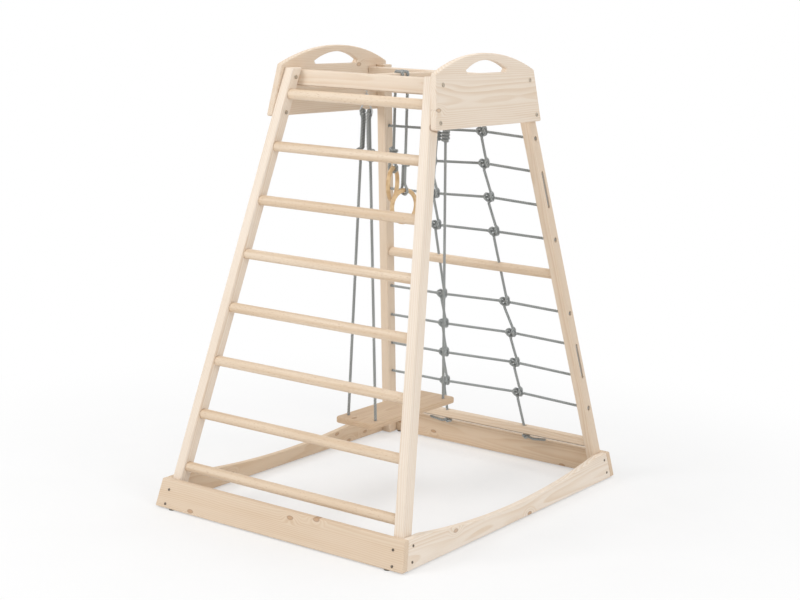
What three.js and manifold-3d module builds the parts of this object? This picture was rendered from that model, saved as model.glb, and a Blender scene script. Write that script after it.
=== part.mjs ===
// Indoor play tower: four leaning posts with a ladder side, a net side, a swing and two rings.
// Millimetres, +Z up, +X to the right along the rungs, -Y the ladder side, origin on the floor.
import * as THREE from 'three';
import { mergeVertices } from 'three/addons/utils/BufferGeometryUtils.js';
import Module from 'manifold-3d';

const wasm = await Module();
wasm.setup();

// Fits
const gap = 0.3;
const overrun = 6;
const ropeHoleClearance = 1.1;
const boltClearance = 0.6;

// Frame: the posts' outer faces are the planes x = baseHalfX - leanX z and y = baseHalfY - leanY z
const baseHalfX = 429;
const baseHalfY = 567;
const leanXShare = 0.13;
const leanYShare = 0.25;
const postX = 32;
const postY = 42;
const postTop = 1288;
const glideHeight = 4;
const glideRadius = 9;
const glideInsetX = 38;

// Boards
const boardThick = 20;
const baseBoardHeight = 82;
const archDip = 36;
const archInset = 62;
const handleBelowPostTop = 142;
const handleShoulderRise = 152;
const handleCrown = 52;
const handleEndInset = 1.5;
const handleShoulderInset = 22;
const holeBelowTop = 19;
const holeRise = 37;
const holeEndRise = 10;
const holeHalf = 107;
const holeCorner = 8;

// Rails and centre beam
const railHeight = 45;
const railThick = 42;
const railBelowPostTop = 7;
const beamWidth = 34;
const beamHeight = 45;
const beamBelowPostTop = 8;

// Rungs
const rungRadius = 15;
const rungLowest = 121;
const topRungDrop = 24;
const topRungGap = 150.8;
const rungsBelowTop = 7;
const socketDepth = 12;

// Bolts of the handle boards
const boltRadius = 3;
const boltHeadRadius = 6.5;
const boltHeadHeight = 2.6;
const boltLowRise = 20;
const boltHighRise = 122;
const nutRadius = 6;
const nutHeight = 3;

// Rope, and the room that turns of rope keep
const ropeRadius = 4.5;
const turnGap = 0.8;
const eyeSlack = 1.1;
const ropeBend = 5;
const windingBend = 6;

// Net
const netBelowHandle = 53.5;
const netRowPitch = 103.5;
const rowsPerRope = 4;
const netRungBelowRow = 112;
const netRowBelowRung = 121.5;
const uprightPlaceShare = 0.4;
const uprightAboveRow = 42;
const laceSink = 6.2;
const laceKnotRadius = 7;
const laceKnotHeight = 8;
const knotInset = 0.8;
const knotRoom = 0.9;
const netKnotRadius = 14.5;
const netKnotHeight = 28;
const netBarWidth = 27;
const netBarBottom = 105;
const stopperRadius = 11;
const stopperHeight = 19;
const uprightTail = 70;

// Swing
const hookSpread = 16.5;
const hingeBelowRail = 29;
const eyeRingRadius = 9;
const steelRadius = 2.5;
const eyeIntoRail = 25;
const eyeCollarRadius = 6;
const eyeCollarHeight = 2;
const linkBaseHalf = 24.5;
const linkDrop = 35;
const linkCorner = 4.5;
const strandTopX = 12;
const seatTop = 269;
const seatThick = 18;
const seatWidth = 140;
const seatBeyondHook = 25.3;
const seatCorner = 16;
const seatHoleEdgeX = 20;
const seatKnotRadius = 10;
const seatKnotHeight = 11;
const swingEyeReach = 18;
const frontTailRun = 94;
const backTailRun = 66;
const swingTurns = 3;
const swingTailEnd = 7;

// Rings
const ringTubeRadius = 6.5;
const ringRadius = 47.5;
const ringPairY = -24.3;
const wrapPitch = 26;
const wrapDrop = 8;
const leftRopeLength = 222.7;
const rightRopeLength = 286;
const leftRingTurn = THREE.MathUtils.degToRad(19);
const rightRingTurn = THREE.MathUtils.degToRad(-13);
const ringEyeReach = 22;
const ringTurns = 3;
const leftTailRun = 22;
const rightTailRun = 66;
const ringTailEnd = 8;

// Facets
const rungSides = 16;
const ropeSides = 8;
const windingSides = 6;
const stepsPerTurn = 20;
const bendSteps = 3;
const eyeSteps = 8;
const easeSteps = 4;
const holeSides = 8;
const ringSteps = 28;
const ringSides = 8;
const arcSteps = 20;
const knotSides = 6;
const turnedSides = 10;
const wireSides = 8;
const eyeRingSteps = 16;

const pine = [0xe8d6c2, 0.62, 0];
const beech = [0xdfc19c, 0.5, 0];
const greyRope = [0x969b9b, 0.9, 0];
const zinc = [0xc9cdd0, 0.35, 0.9];
const darkSteel = [0x4a4744, 0.45, 0.8];
const felt = [0x55504b, 0.9, 0];

const outerX = (z) => baseHalfX - leanXShare * z;
const outerY = (z) => baseHalfY - leanYShare * z;
const innerX = (z) => outerX(z) - postX;
const innerY = (z) => outerY(z) - postY;
const midY = (z) => outerY(z) - postY / 2;
const at = (x, y, z) => new THREE.Vector3(x, y, z);
const upward = at(0, 0, 1);
const boardTop = glideHeight + baseBoardHeight;
const railTop = postTop - railBelowPostTop;
const railBottom = railTop - railHeight;
const beamTop = postTop - beamBelowPostTop;
const beamBottom = beamTop - beamHeight;
const handleBottom = postTop - handleBelowPostTop;
const handleShoulder = handleBottom + handleShoulderRise;
const handleTop = handleShoulder + handleCrown;
const handleBottomHalf = outerY(handleBottom) - handleEndInset;
const handleShoulderHalf = handleBottomHalf - handleShoulderInset;
const holeTop = handleTop - holeBelowTop;
const holeBottom = holeTop - holeRise;
const holeEnd = holeBottom + holeEndRise;
const boltLowZ = handleBottom + boltLowRise;
const boltHighZ = handleBottom + boltHighRise;
const netTopRow = handleBottom - netBelowHandle;
const netRungZ = netTopRow - (rowsPerRope - 1) * netRowPitch - netRungBelowRow;
const netLowerTopRow = netRungZ - netRowBelowRung;
const seatHoleX = seatWidth / 2 - seatHoleEdgeX;
const swingHookY = innerY(railBottom) - gap - railThick / 2;
const seatHoleY = swingHookY - hookSpread;
const seatLength = 2 * (swingHookY + seatBeyondHook);
const hingeZ = railBottom - hingeBelowRail;
const linkBaseZ = hingeZ - linkDrop;
const ropeHole = ropeRadius + ropeHoleClearance;
const grooveDepth = laceSink + ropeHole;
const windingRadius = 2 * ropeRadius + turnGap;
const turnPitch = 2 * ropeRadius + turnGap;

const tower = new THREE.Group();

function add(name, geometry, [color, roughness, metalness]) {
  const mesh = new THREE.Mesh(geometry, new THREE.MeshStandardMaterial({ color, roughness, metalness }));
  mesh.name = name;
  tower.add(mesh);
}

// Turns every face outwards, by the sign of the enclosed volume
function outward(geometry) {
  const index = geometry.index.array;
  const position = geometry.attributes.position;
  const [a, b, c] = [at(0, 0, 0), at(0, 0, 0), at(0, 0, 0)];
  let volume = 0;
  for (let i = 0; i < index.length; i += 3) {
    a.fromBufferAttribute(position, index[i]);
    b.fromBufferAttribute(position, index[i + 1]);
    c.fromBufferAttribute(position, index[i + 2]);
    volume += a.dot(b.cross(c));
  }
  if (volume < 0) {
    for (let i = 0; i < index.length; i += 3) {
      [index[i], index[i + 1]] = [index[i + 1], index[i]];
    }
  }
  return geometry;
}

// Shares the vertices of a closed surface and drops the empty triangles at a lathe's axis
function closed(geometry) {
  geometry.deleteAttribute('normal');
  geometry.deleteAttribute('uv');
  const merged = mergeVertices(geometry);
  const kept = [];
  const index = merged.index.array;
  for (let i = 0; i < index.length; i += 3) {
    const [a, b, c] = [index[i], index[i + 1], index[i + 2]];
    if (a !== b && b !== c && c !== a) kept.push(a, b, c);
  }
  merged.setIndex(kept);
  return outward(merged);
}

// Moves every point of a geometry, which also bends it
function placed(geometry, place) {
  const position = geometry.attributes.position;
  for (let i = 0; i < position.count; i++) {
    const point = place(at(position.getX(i), position.getY(i), position.getZ(i)));
    position.setXYZ(i, point.x, point.y, point.z);
  }
  return closed(geometry);
}

// A surface through rings of points: closed by flat ends, or back on itself
function skin(rings, endless = false) {
  const count = rings[0].length;
  const spans = endless ? rings.length : rings.length - 1;
  const index = [];
  for (let r = 0; r < spans; r++) {
    const low = r * count;
    const high = ((r + 1) % rings.length) * count;
    for (let i = 0; i < count; i++) {
      const next = (i + 1) % count;
      index.push(low + i, low + next, high + next, low + i, high + next, high + i);
    }
  }
  if (!endless) {
    const last = (rings.length - 1) * count;
    for (let i = 1; i < count - 1; i++) {
      index.push(0, i + 1, i, last, last + i, last + i + 1);
    }
  }
  const geometry = new THREE.BufferGeometry();
  const numbers = rings.flat().flatMap((point) => point.toArray());
  geometry.setAttribute('position', new THREE.Float32BufferAttribute(numbers, 3));
  geometry.setIndex(index);
  return outward(geometry);
}

function toSolid(geometry) {
  const vertProperties = new Float32Array(geometry.attributes.position.array);
  const triVerts = new Uint32Array(geometry.index.array);
  return new wasm.Manifold(new wasm.Mesh({ numProp: 3, vertProperties, triVerts }));
}

function toGeometry(solid) {
  const mesh = solid.getMesh();
  const geometry = new THREE.BufferGeometry();
  geometry.setAttribute('position', new THREE.BufferAttribute(mesh.vertProperties, 3));
  geometry.setIndex(new THREE.BufferAttribute(mesh.triVerts, 1));
  return geometry;
}

function cut(geometry, tools) {
  return toGeometry(tools.reduce((solid, tool) => solid.subtract(toSolid(tool)), toSolid(geometry)));
}

function joined(pieces) {
  return toGeometry(pieces.map(toSolid).reduce((sum, solid) => sum.add(solid)));
}

// A turned piece: the profile's points are radius and height, and it stands at base along direction
function turned(profile, base, direction, sides) {
  const geometry = new THREE.LatheGeometry(profile.map(([r, h]) => new THREE.Vector2(r, h)), sides);
  const turn = new THREE.Quaternion().setFromUnitVectors(at(0, 1, 0), direction);
  return placed(geometry, (point) => point.applyQuaternion(turn).add(base));
}

function rod(start, end, radius, sides) {
  const length = start.distanceTo(end);
  const direction = end.clone().sub(start).normalize();
  return turned([[0, 0], [radius, 0], [radius, length], [0, length]], start, direction, sides);
}

// A knot as a barrel: shares of its radius and of its height
const barrelShares = [[0, 0], [0.65, 0], [1, 0.5], [0.65, 1], [0, 1]];

function barrel(middle, direction, radius, height) {
  const base = middle.clone().addScaledVector(direction, -height / 2);
  const profile = barrelShares.map(([r, h]) => [r * radius, h * height]);
  return turned(profile, base, direction, knotSides);
}

// A path that takes one step from each listed point to the next
class PointPath extends THREE.Curve {
  constructor(points) {
    super();
    this.points = points;
  }

  getPoint(t, target = at(0, 0, 0)) {
    return target.copy(this.points[Math.round(t * (this.points.length - 1))]);
  }

  getPointAt(t, target) {
    return this.getPoint(t, target);
  }

  getTangent(t, target = at(0, 0, 0)) {
    const last = this.points.length - 1;
    const i = Math.round(t * last);
    const here = this.points[i];
    const before = here.clone().sub(this.points[Math.max(i - 1, 0)]).normalize();
    const after = this.points[Math.min(i + 1, last)].clone().sub(here).normalize();
    return target.addVectors(before, after).normalize();
  }

  getTangentAt(t, target) {
    return this.getTangent(t, target);
  }
}

function circle(radius, sides) {
  const points = [];
  for (let i = 0; i < sides; i++) {
    const angle = (2 * Math.PI * i) / sides;
    points.push(new THREE.Vector2(radius * Math.cos(angle), radius * Math.sin(angle)));
  }
  return points;
}

function tube(points, radius, sides) {
  const section = new THREE.Shape(circle(radius, sides));
  const extrudePath = new PointPath(points);
  const options = { steps: points.length - 1, bevelEnabled: false, extrudePath };
  return closed(new THREE.ExtrudeGeometry(section, options));
}

// The corner between two straight runs, as an arc that both runs meet as tangents
function corner(before, here, after, bend) {
  const inward = here.clone().sub(before).normalize();
  const onward = after.clone().sub(here).normalize();
  const turn = inward.angleTo(onward);
  const side = onward.clone().addScaledVector(inward, -inward.dot(onward)).normalize();
  const start = here.clone().addScaledVector(inward, -bend * Math.tan(turn / 2));
  const middle = start.clone().addScaledVector(side, bend);
  const points = [];
  for (let i = 0; i <= bendSteps; i++) {
    const angle = (turn * i) / bendSteps;
    const point = middle.clone().addScaledVector(side, -bend * Math.cos(angle));
    points.push(point.addScaledVector(inward, bend * Math.sin(angle)));
  }
  return points;
}

function rounded(corners, bend) {
  const last = corners.length - 1;
  const bends = corners.slice(1, last).map((here, i) => corner(corners[i], here, corners[i + 2], bend));
  return [corners[0], ...bends.flat(), corners[last]];
}

// A box whose eight corners follow the leaning faces
function leaning(low, high, edge) {
  return skin([low, high].map((level) => edge(level)));
}

// Posts

function postSolid(signX, signY) {
  const section = (z) => [
    at(signX * outerX(z), signY * outerY(z), z),
    at(signX * outerX(z), signY * innerY(z), z),
    at(signX * innerX(z), signY * innerY(z), z),
    at(signX * innerX(z), signY * outerY(z), z),
  ];
  return leaning(glideHeight, postTop, section);
}

// A blind socket for a rung's end, open to the inside
function socket(signX, y, z) {
  const mouth = at(signX * (innerX(z) - overrun), y, z);
  return rod(mouth, at(signX * (innerX(z) + socketDepth), y, z), rungRadius + gap, rungSides);
}

function rowHole(signX, z) {
  const [y, near, far] = [midY(z), innerX(z) - overrun, outerX(z) + overrun];
  return rod(at(signX * near, y, z), at(signX * far, y, z), ropeHole, holeSides);
}

// A bolt's axis is square to the leaning outer face
const boltDirection = (signX) => at(signX, 0, leanXShare).normalize();

function boltSeat(signX, signY, z) {
  return at(signX * (outerX(z) + gap + boardThick), signY * midY(z), z);
}

function boltHole(signX, signY, z) {
  const seat = boltSeat(signX, signY, z);
  const direction = boltDirection(signX);
  const start = seat.clone().addScaledVector(direction, overrun);
  const end = seat.clone().addScaledVector(direction, -(boardThick + postX + overrun));
  return rod(start, end, boltRadius + boltClearance, holeSides);
}

const handleBolts = [['low', boltLowZ], ['high', boltHighZ]];

const rungTopZ = railBottom - topRungDrop;
const rungPitch = (rungTopZ - topRungGap - rungLowest) / (rungsBelowTop - 1);
const rungHeights = [];
for (let i = 0; i < rungsBelowTop; i++) rungHeights.push(rungLowest + i * rungPitch);
rungHeights.push(rungTopZ);

const rowsFrom = (top) => Array.from({ length: rowsPerRope }, (_, i) => top - i * netRowPitch);
const upperRows = rowsFrom(netTopRow);
const lowerRows = rowsFrom(netLowerTopRow);
const netRows = [...upperRows, ...lowerRows];

// Each net rope starts and ends in the right post; its rows run to the left, back and so on
const ropeEnds = [upperRows, lowerRows].flatMap((rows) => [rows[0], rows[rows.length - 1]]);
const rowSide = (i) => (i % 2 === 0 ? -1 : 1);

// The middle of the knot that sits inside the right post's outer face
const laceKnot = (z) => at(
  outerX(z + laceKnotRadius) - knotInset - laceKnotHeight / 2, midY(z), z);

function laceKnotRoom(z) {
  const middle = laceKnot(z);
  const inner = middle.clone().sub(at(laceKnotHeight / 2 + gap, 0, 0));
  const outer = at(outerX(z) + overrun, midY(z), z);
  return rod(inner, outer, laceKnotRadius + knotRoom, turnedSides);
}

// Between two rows the rope lies in a groove of the post's outer face
function laceGrooves(signX) {
  const section = (z) => [[outerX(z) - grooveDepth, -1], [outerX(z) + overrun, -1],
    [outerX(z) + overrun, 1], [outerX(z) - grooveDepth, 1]]
    .map(([x, signY]) => at(signX * x, midY(z) + signY * ropeHole, z));
  return [upperRows, lowerRows].flatMap((rows) => rows.slice(1)
    .map((low, i) => [low, rows[i], rowSide(i)])
    .filter(([, , side]) => side === signX)
    .map(([low, high]) => leaning(low, high, section)));
}

const endNames = [['right', 1], ['left', -1]];
const depthNames = [['front', -1], ['back', 1]];

for (const [depthName, signY] of depthNames) {
  for (const [endName, signX] of endNames) {
    const tools = handleBolts.map(([, z]) => boltHole(signX, signY, z));
    if (signY < 0) {
      tools.push(...rungHeights.map((z) => socket(signX, -midY(z), z)));
    } else {
      tools.push(socket(signX, midY(netRungZ), netRungZ));
      tools.push(...netRows.map((z) => rowHole(signX, z)), ...laceGrooves(signX));
      if (signX > 0) tools.push(...ropeEnds.map((z) => laceKnotRoom(z)));
    }
    add(`post_${depthName}_${endName}`, cut(postSolid(signX, signY), tools), pine);
  }
}

// Base boards

function archedOutline() {
  const shape = new THREE.Shape();
  const topHalf = outerY(boardTop);
  const arcHalf = topHalf - archInset;
  const arcRadius = (arcHalf ** 2 + archDip ** 2) / (2 * archDip);
  const spread = Math.asin(arcHalf / arcRadius);
  shape.moveTo(-outerY(glideHeight), glideHeight);
  shape.lineTo(outerY(glideHeight), glideHeight);
  shape.lineTo(topHalf, boardTop);
  shape.lineTo(arcHalf, boardTop);
  const dipFloor = boardTop - archDip;
  const middleZ = dipFloor + arcRadius;
  for (let i = 1; i <= arcSteps; i++) {
    const angle = spread * (1 - (2 * i) / arcSteps);
    shape.lineTo(arcRadius * Math.sin(angle), middleZ - arcRadius * Math.cos(angle));
  }
  shape.lineTo(-topHalf, boardTop);
  shape.closePath();
  return shape;
}

// An outline in Y and Z becomes a board that lies on the leaning outer X faces
function leaningBoard(outline, signX) {
  const geometry = new THREE.ExtrudeGeometry(outline, { depth: boardThick, bevelEnabled: false });
  return placed(geometry, ({ x, y, z }) => at(signX * (outerX(y) + gap + z), x, y));
}

for (const [endName, signX] of endNames) {
  add(`base_board_${endName}`, leaningBoard(archedOutline(), signX), pine);
}

for (const [depthName, signY] of depthNames) {
  const section = (z) => {
    const halfX = outerX(z) + gap + boardThick;
    const nearY = signY * (outerY(z) + gap);
    const farY = signY * (outerY(z) + gap + boardThick);
    return [at(-halfX, nearY, z), at(halfX, nearY, z), at(halfX, farY, z), at(-halfX, farY, z)];
  };
  add(`base_board_${depthName}`, leaning(glideHeight, boardTop, section), pine);
}

for (const [depthName, signY] of depthNames) {
  for (const [endName, signX] of endNames) {
    const x = signX * (outerX(glideHeight) - glideInsetX);
    const y = signY * (outerY(glideHeight) + gap + boardThick / 2);
    const profile = [[0, 0], [glideRadius, 0], [glideRadius, glideHeight - gap], [0, glideHeight - gap]];
    add(`glide_${depthName}_${endName}`, turned(profile, at(x, y, 0), upward, turnedSides), felt);
  }
}

// Handle boards

function arcPoints(half, low, high) {
  const rise = high - low;
  const radius = (half ** 2 + rise ** 2) / (2 * rise);
  const spread = Math.asin(half / radius);
  const points = [];
  for (let i = 0; i <= arcSteps; i++) {
    const angle = spread * (1 - (2 * i) / arcSteps);
    points.push(new THREE.Vector2(radius * Math.sin(angle), high - radius + radius * Math.cos(angle)));
  }
  return points;
}

function handleOutline() {
  const shape = new THREE.Shape([
    new THREE.Vector2(-handleBottomHalf, handleBottom),
    new THREE.Vector2(handleBottomHalf, handleBottom),
    ...arcPoints(handleShoulderHalf, handleShoulder, handleTop),
  ]);
  const flatHalf = holeHalf - holeCorner;
  const hole = new THREE.Path([
    new THREE.Vector2(-flatHalf, holeBottom),
    new THREE.Vector2(flatHalf, holeBottom),
    ...arcPoints(holeHalf, holeEnd, holeTop),
  ]);
  shape.holes.push(hole);
  return shape;
}

for (const [endName, signX] of endNames) {
  const holes = depthNames.flatMap(([, signY]) =>
    handleBolts.map(([, z]) => boltHole(signX, signY, z)));
  add(`handle_board_${endName}`, cut(leaningBoard(handleOutline(), signX), holes), pine);
}

// A bolt through board and post, with its nut on the post's inner face
function handleBolt(signX, signY, z) {
  const out = boltDirection(signX);
  const inwards = out.clone().negate();
  const seat = boltSeat(signX, signY, z).addScaledVector(out, gap);
  const crown = boltHeadRadius - boltHeadHeight;
  const head = [[0, 0], [boltHeadRadius, 0], [crown, boltHeadHeight], [0, boltHeadHeight]];
  const slope = Math.hypot(1, leanXShare);
  const nutSeat = gap + (gap + boardThick + postX) / slope + gap;
  const shankEnd = seat.clone().addScaledVector(inwards, nutSeat + nutHeight);
  const nut = [[0, 0], [nutRadius, 0], [nutRadius, nutHeight], [0, nutHeight]];
  return joined([
    turned(head, seat, out, turnedSides),
    rod(seat.clone().addScaledVector(out, gap), shankEnd, boltRadius, turnedSides),
    turned(nut, seat.clone().addScaledVector(inwards, nutSeat), inwards, turnedSides),
  ]);
}

for (const [depthName, signY] of depthNames) {
  for (const [endName, signX] of endNames) {
    for (const [height, z] of handleBolts) {
      const name = `handle_bolt_${depthName}_${endName}_${height}`;
      add(name, handleBolt(signX, signY, z), darkSteel);
    }
  }
}

// Rails, beam and rungs

// A point of an upright net rope at height z, in the middle plane of the back posts
const uprightAt = (signX, z) => at(signX * uprightPlaceShare * innerX(z), midY(z), z);

function uprightHole(signX, low, high) {
  return rod(uprightAt(signX, low), uprightAt(signX, high), ropeHole, holeSides);
}

// A rail lies against the posts' inner faces, from one handle board to the other
const railFaceY = (z) => innerY(z) - gap - railThick;

for (const [depthName, signY] of depthNames) {
  const section = (z) => {
    const [halfX, nearY, farY] = [outerX(z), signY * railFaceY(z), signY * (innerY(z) - gap)];
    return [at(-halfX, nearY, z), at(halfX, nearY, z), at(halfX, farY, z), at(-halfX, farY, z)];
  };
  const y = signY * swingHookY;
  const low = at(0, y, railBottom - overrun);
  const high = at(0, y, railBottom + eyeIntoRail + gap);
  const hole = rod(low, high, steelRadius + boltClearance, holeSides);
  add(`top_rail_${depthName}`, cut(leaning(railBottom, railTop, section), [hole]), pine);
}

const beamSection = (signY) => [[-1, beamBottom], [1, beamBottom], [1, beamTop], [-1, beamTop]]
  .map(([signX, z]) => at((signX * beamWidth) / 2, signY * (railFaceY(z) - gap), z));
add('centre_beam', skin([beamSection(-1), beamSection(1)]), pine);

function rung(y, z) {
  const half = innerX(z) + socketDepth - gap;
  return rod(at(-half, y, z), at(half, y, z), rungRadius, rungSides);
}

rungHeights.forEach((z, i) => add(`rung_${i + 1}`, rung(-midY(z), z), pine));

const rungUprightHoles = endNames.map(([, signX]) =>
  uprightHole(signX, netRungZ - rungRadius - overrun, netRungZ + rungRadius + overrun));
add('net_rung', cut(rung(midY(netRungZ), netRungZ), rungUprightHoles), pine);

// Net

const barTop = netBarBottom + netBarWidth;
const barMiddleY = midY(netBarBottom + netBarWidth / 2);
const barSection = (signX) => [[-1, netBarBottom], [1, netBarBottom], [1, barTop], [-1, barTop]]
  .map(([signY, z]) => at(signX * (innerX(z) - gap), barMiddleY + (signY * netBarWidth) / 2, z));
const barHoles = endNames.map(([, signX]) => uprightHole(signX, netBarBottom - overrun, barTop + overrun));
add('net_bottom_bar', cut(skin([barSection(-1), barSection(1)]), barHoles), pine);

// One rope laid in rows: through both back posts, along a groove in one of them and back
function netRope(rows) {
  const knots = [laceKnot(rows[0]), laceKnot(rows[rows.length - 1])];
  const corners = [knots[0]];
  rows.forEach((z, i) => {
    const signX = rowSide(i);
    if (i > 0) corners.push(at(-signX * (outerX(z) - laceSink), midY(z), z));
    if (i < rows.length - 1) corners.push(at(signX * (outerX(z) - laceSink), midY(z), z));
  });
  corners.push(knots[1]);
  const ends = knots.map((middle) => barrel(middle, at(1, 0, 0), laceKnotRadius, laceKnotHeight));
  return joined([tube(rounded(corners, ropeBend), ropeRadius, ropeSides), ...ends]);
}

add('net_rope_upper', netRope(upperRows), greyRope);
add('net_rope_lower', netRope(lowerRows), greyRope);

// An upright rope with a knot on every row, a stopper under the bottom bar and a short tail
function netUpright(signX) {
  const direction = uprightAt(signX, netTopRow).sub(uprightAt(signX, 0)).normalize();
  const stopperZ = netBarBottom - gap - stopperHeight / 2;
  const stopper = uprightAt(signX, stopperZ);
  const top = uprightAt(signX, netTopRow + uprightAboveRow);
  const tailEnd = stopper.clone().add(at(signX * uprightTail, 0, 0));
  const pieces = [
    rod(stopper, top, ropeRadius, ropeSides),
    barrel(stopper, upward, stopperRadius, stopperHeight),
    rod(stopper, tailEnd, ropeRadius, ropeSides),
    ...netRows.map((z) => barrel(uprightAt(signX, z), direction, netKnotRadius, netKnotHeight)),
  ];
  const rows = netRows.map((z) => {
    const middle = uprightAt(signX, z);
    const reach = at(netKnotRadius + overrun, 0, 0);
    return rod(middle.clone().sub(reach), middle.clone().add(reach), ropeHole, knotSides);
  });
  return cut(joined(pieces), rows);
}

for (const [endName, signX] of endNames) {
  add(`net_upright_${endName}`, netUpright(signX), greyRope);
}

// Ropes with an eye

const eased = (share) => share * share * (3 - 2 * share);

// The rope comes along its standing points, passes round a bar at centre, returns beside itself,
// winds round itself away from the eye, and ends straight
function eyedRope(standing, centre, bar, barRadius, reach, windStart, turns, tail) {
  const along = standing[standing.length - 1].clone().sub(centre).normalize();
  const side = along.clone().cross(bar).normalize();
  const out = side.clone().cross(along).normalize();
  const eyeRadius = barRadius + ropeRadius + eyeSlack;
  const place = (height, sideways, outwards) => centre.clone().addScaledVector(along, height)
    .addScaledVector(side, sideways).addScaledVector(out, outwards);
  const points = [...standing, place(reach, 0, 0)];
  for (let i = 1; i <= easeSteps; i++) {
    const share = i / easeSteps;
    points.push(place(reach * (1 - share), -eyeRadius * eased(share), 0));
  }
  for (let i = 1; i <= eyeSteps; i++) {
    const angle = (Math.PI * i) / eyeSteps;
    points.push(place(-eyeRadius * Math.sin(angle), -eyeRadius * Math.cos(angle), 0));
  }
  for (let i = 1; i <= easeSteps; i++) {
    const share = i / easeSteps;
    points.push(place(reach * share, eyeRadius + (windingRadius - eyeRadius) * eased(share), 0));
  }
  if (windStart > reach) points.push(place(windStart, windingRadius, 0));
  const wound = (arc, height) => {
    const angle = arc / windingRadius;
    return place(height, windingRadius * Math.cos(angle), windingRadius * Math.sin(angle));
  };
  const rise = turnPitch / (2 * Math.PI * windingRadius);
  const fullTurn = Math.PI / 2 - Math.atan(rise);
  for (let i = 1; i <= bendSteps; i++) {
    const angle = (fullTurn * i) / bendSteps;
    points.push(wound(windingBend * (1 - Math.cos(angle)), windStart + windingBend * Math.sin(angle)));
  }
  const bentArc = windingBend * (1 - Math.cos(fullTurn));
  const bentHeight = windStart + windingBend * Math.sin(fullTurn);
  const stepArc = (2 * Math.PI * windingRadius) / stepsPerTurn;
  for (let i = 1; i <= turns * stepsPerTurn; i++) {
    points.push(wound(bentArc + i * stepArc, bentHeight + i * stepArc * rise));
  }
  const [before, end] = points.slice(-2);
  const direction = end.clone().sub(before).normalize();
  points.push(end.clone().addScaledVector(direction, tail));
  return points;
}

// The least gap between stretches of one rope that are not neighbours, on points along it
function leastGap(name, route) {
  const path = new THREE.CurvePath();
  for (let i = 1; i < route.length; i++) path.add(new THREE.LineCurve3(route[i - 1], route[i]));
  const samples = Math.ceil(path.getLength() / (ropeRadius / 2));
  const spacing = path.getLength() / samples;
  const points = path.getSpacedPoints(samples);
  const skipped = Math.ceil((5 * ropeRadius) / spacing);
  let least = Infinity;
  for (let i = 0; i < points.length; i++) {
    for (let j = i + skipped; j < points.length; j++) {
      least = Math.min(least, points[i].distanceTo(points[j]));
    }
  }
  console.log(`${name}: least gap to itself ${(least - 2 * ropeRadius).toFixed(2)} mm`);
}

// Swing

function screwEye(signY) {
  const y = signY * swingHookY;
  const centreZ = hingeZ + eyeRingRadius;
  const ring = new THREE.TorusGeometry(eyeRingRadius, steelRadius, wireSides, eyeRingSteps);
  const turnedRing = placed(ring, (point) => at(point.z, y + point.x, centreZ + point.y));
  const shank = rod(at(0, y, centreZ + eyeRingRadius), at(0, y, railBottom + eyeIntoRail),
    steelRadius, wireSides);
  const collarBase = railBottom - gap - eyeCollarHeight;
  const collarProfile = [[0, 0], [eyeCollarRadius, 0], [eyeCollarRadius, eyeCollarHeight],
    [0, eyeCollarHeight]];
  return joined([turnedRing, shank, turned(collarProfile, at(0, y, collarBase), upward, turnedSides)]);
}

// A three-cornered link: its top bend turns about the screw eye's lowest wire
function link(signY) {
  const y = signY * swingHookY;
  const topBend = 2 * steelRadius + gap;
  const base = at(linkBaseHalf, y, linkBaseZ);
  const rise = hingeZ - linkBaseZ;
  const reach = Math.hypot(linkBaseHalf, rise);
  const legAngle = Math.atan2(linkBaseHalf, rise) - Math.asin(topBend / reach);
  const apex = at(0, y, linkBaseZ + linkBaseHalf / Math.tan(legAngle));
  const mirrored = at(-linkBaseHalf, y, linkBaseZ);
  const loop = [
    ...corner(mirrored, base, apex, linkCorner),
    ...corner(base, apex, mirrored, topBend),
    ...corner(apex, mirrored, base, linkCorner),
  ];
  const rings = loop.map((here, i) => {
    const before = loop[(i + loop.length - 1) % loop.length];
    const after = loop[(i + 1) % loop.length];
    const inward = here.clone().sub(before).normalize();
    const tangent = after.clone().sub(here).normalize().add(inward).normalize();
    const flat = tangent.clone().cross(at(0, 1, 0)).normalize();
    return circle(steelRadius, wireSides)
      .map((point) => here.clone().addScaledVector(flat, point.x).add(at(0, point.y, 0)));
  });
  return skin(rings, true);
}

const seatBottom = seatTop - seatThick;
const seatKnotZ = seatBottom + knotInset + seatKnotHeight / 2;

// A rope hole, wider below so that the knot sits inside the seat
function seatHoles(signX, signY) {
  const [x, y] = [signX * seatHoleX, signY * seatHoleY];
  const low = at(x, y, seatBottom - overrun);
  const roomTop = at(x, y, seatKnotZ + seatKnotHeight / 2 + gap);
  return [
    rod(low, at(x, y, seatTop + overrun), ropeHole, holeSides),
    rod(low, roomTop, seatKnotRadius + knotRoom, turnedSides),
  ];
}

function seat() {
  const [halfX, halfY] = [seatWidth / 2, seatLength / 2];
  const shape = new THREE.Shape();
  shape.moveTo(-halfX + seatCorner, -halfY);
  shape.lineTo(halfX - seatCorner, -halfY);
  shape.quadraticCurveTo(halfX, -halfY, halfX, -halfY + seatCorner);
  shape.lineTo(halfX, halfY - seatCorner);
  shape.quadraticCurveTo(halfX, halfY, halfX - seatCorner, halfY);
  shape.lineTo(-halfX + seatCorner, halfY);
  shape.quadraticCurveTo(-halfX, halfY, -halfX, halfY - seatCorner);
  shape.lineTo(-halfX, -halfY + seatCorner);
  shape.quadraticCurveTo(-halfX, -halfY, -halfX + seatCorner, -halfY);
  const options = { depth: seatThick, bevelEnabled: false, curveSegments: bendSteps };
  const board = placed(new THREE.ExtrudeGeometry(shape, options), (point) => point.add(at(0, 0, seatBottom)));
  return cut(board, endNames.flatMap(([, signX]) => depthNames.flatMap(([, signY]) => seatHoles(signX, signY))));
}

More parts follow.
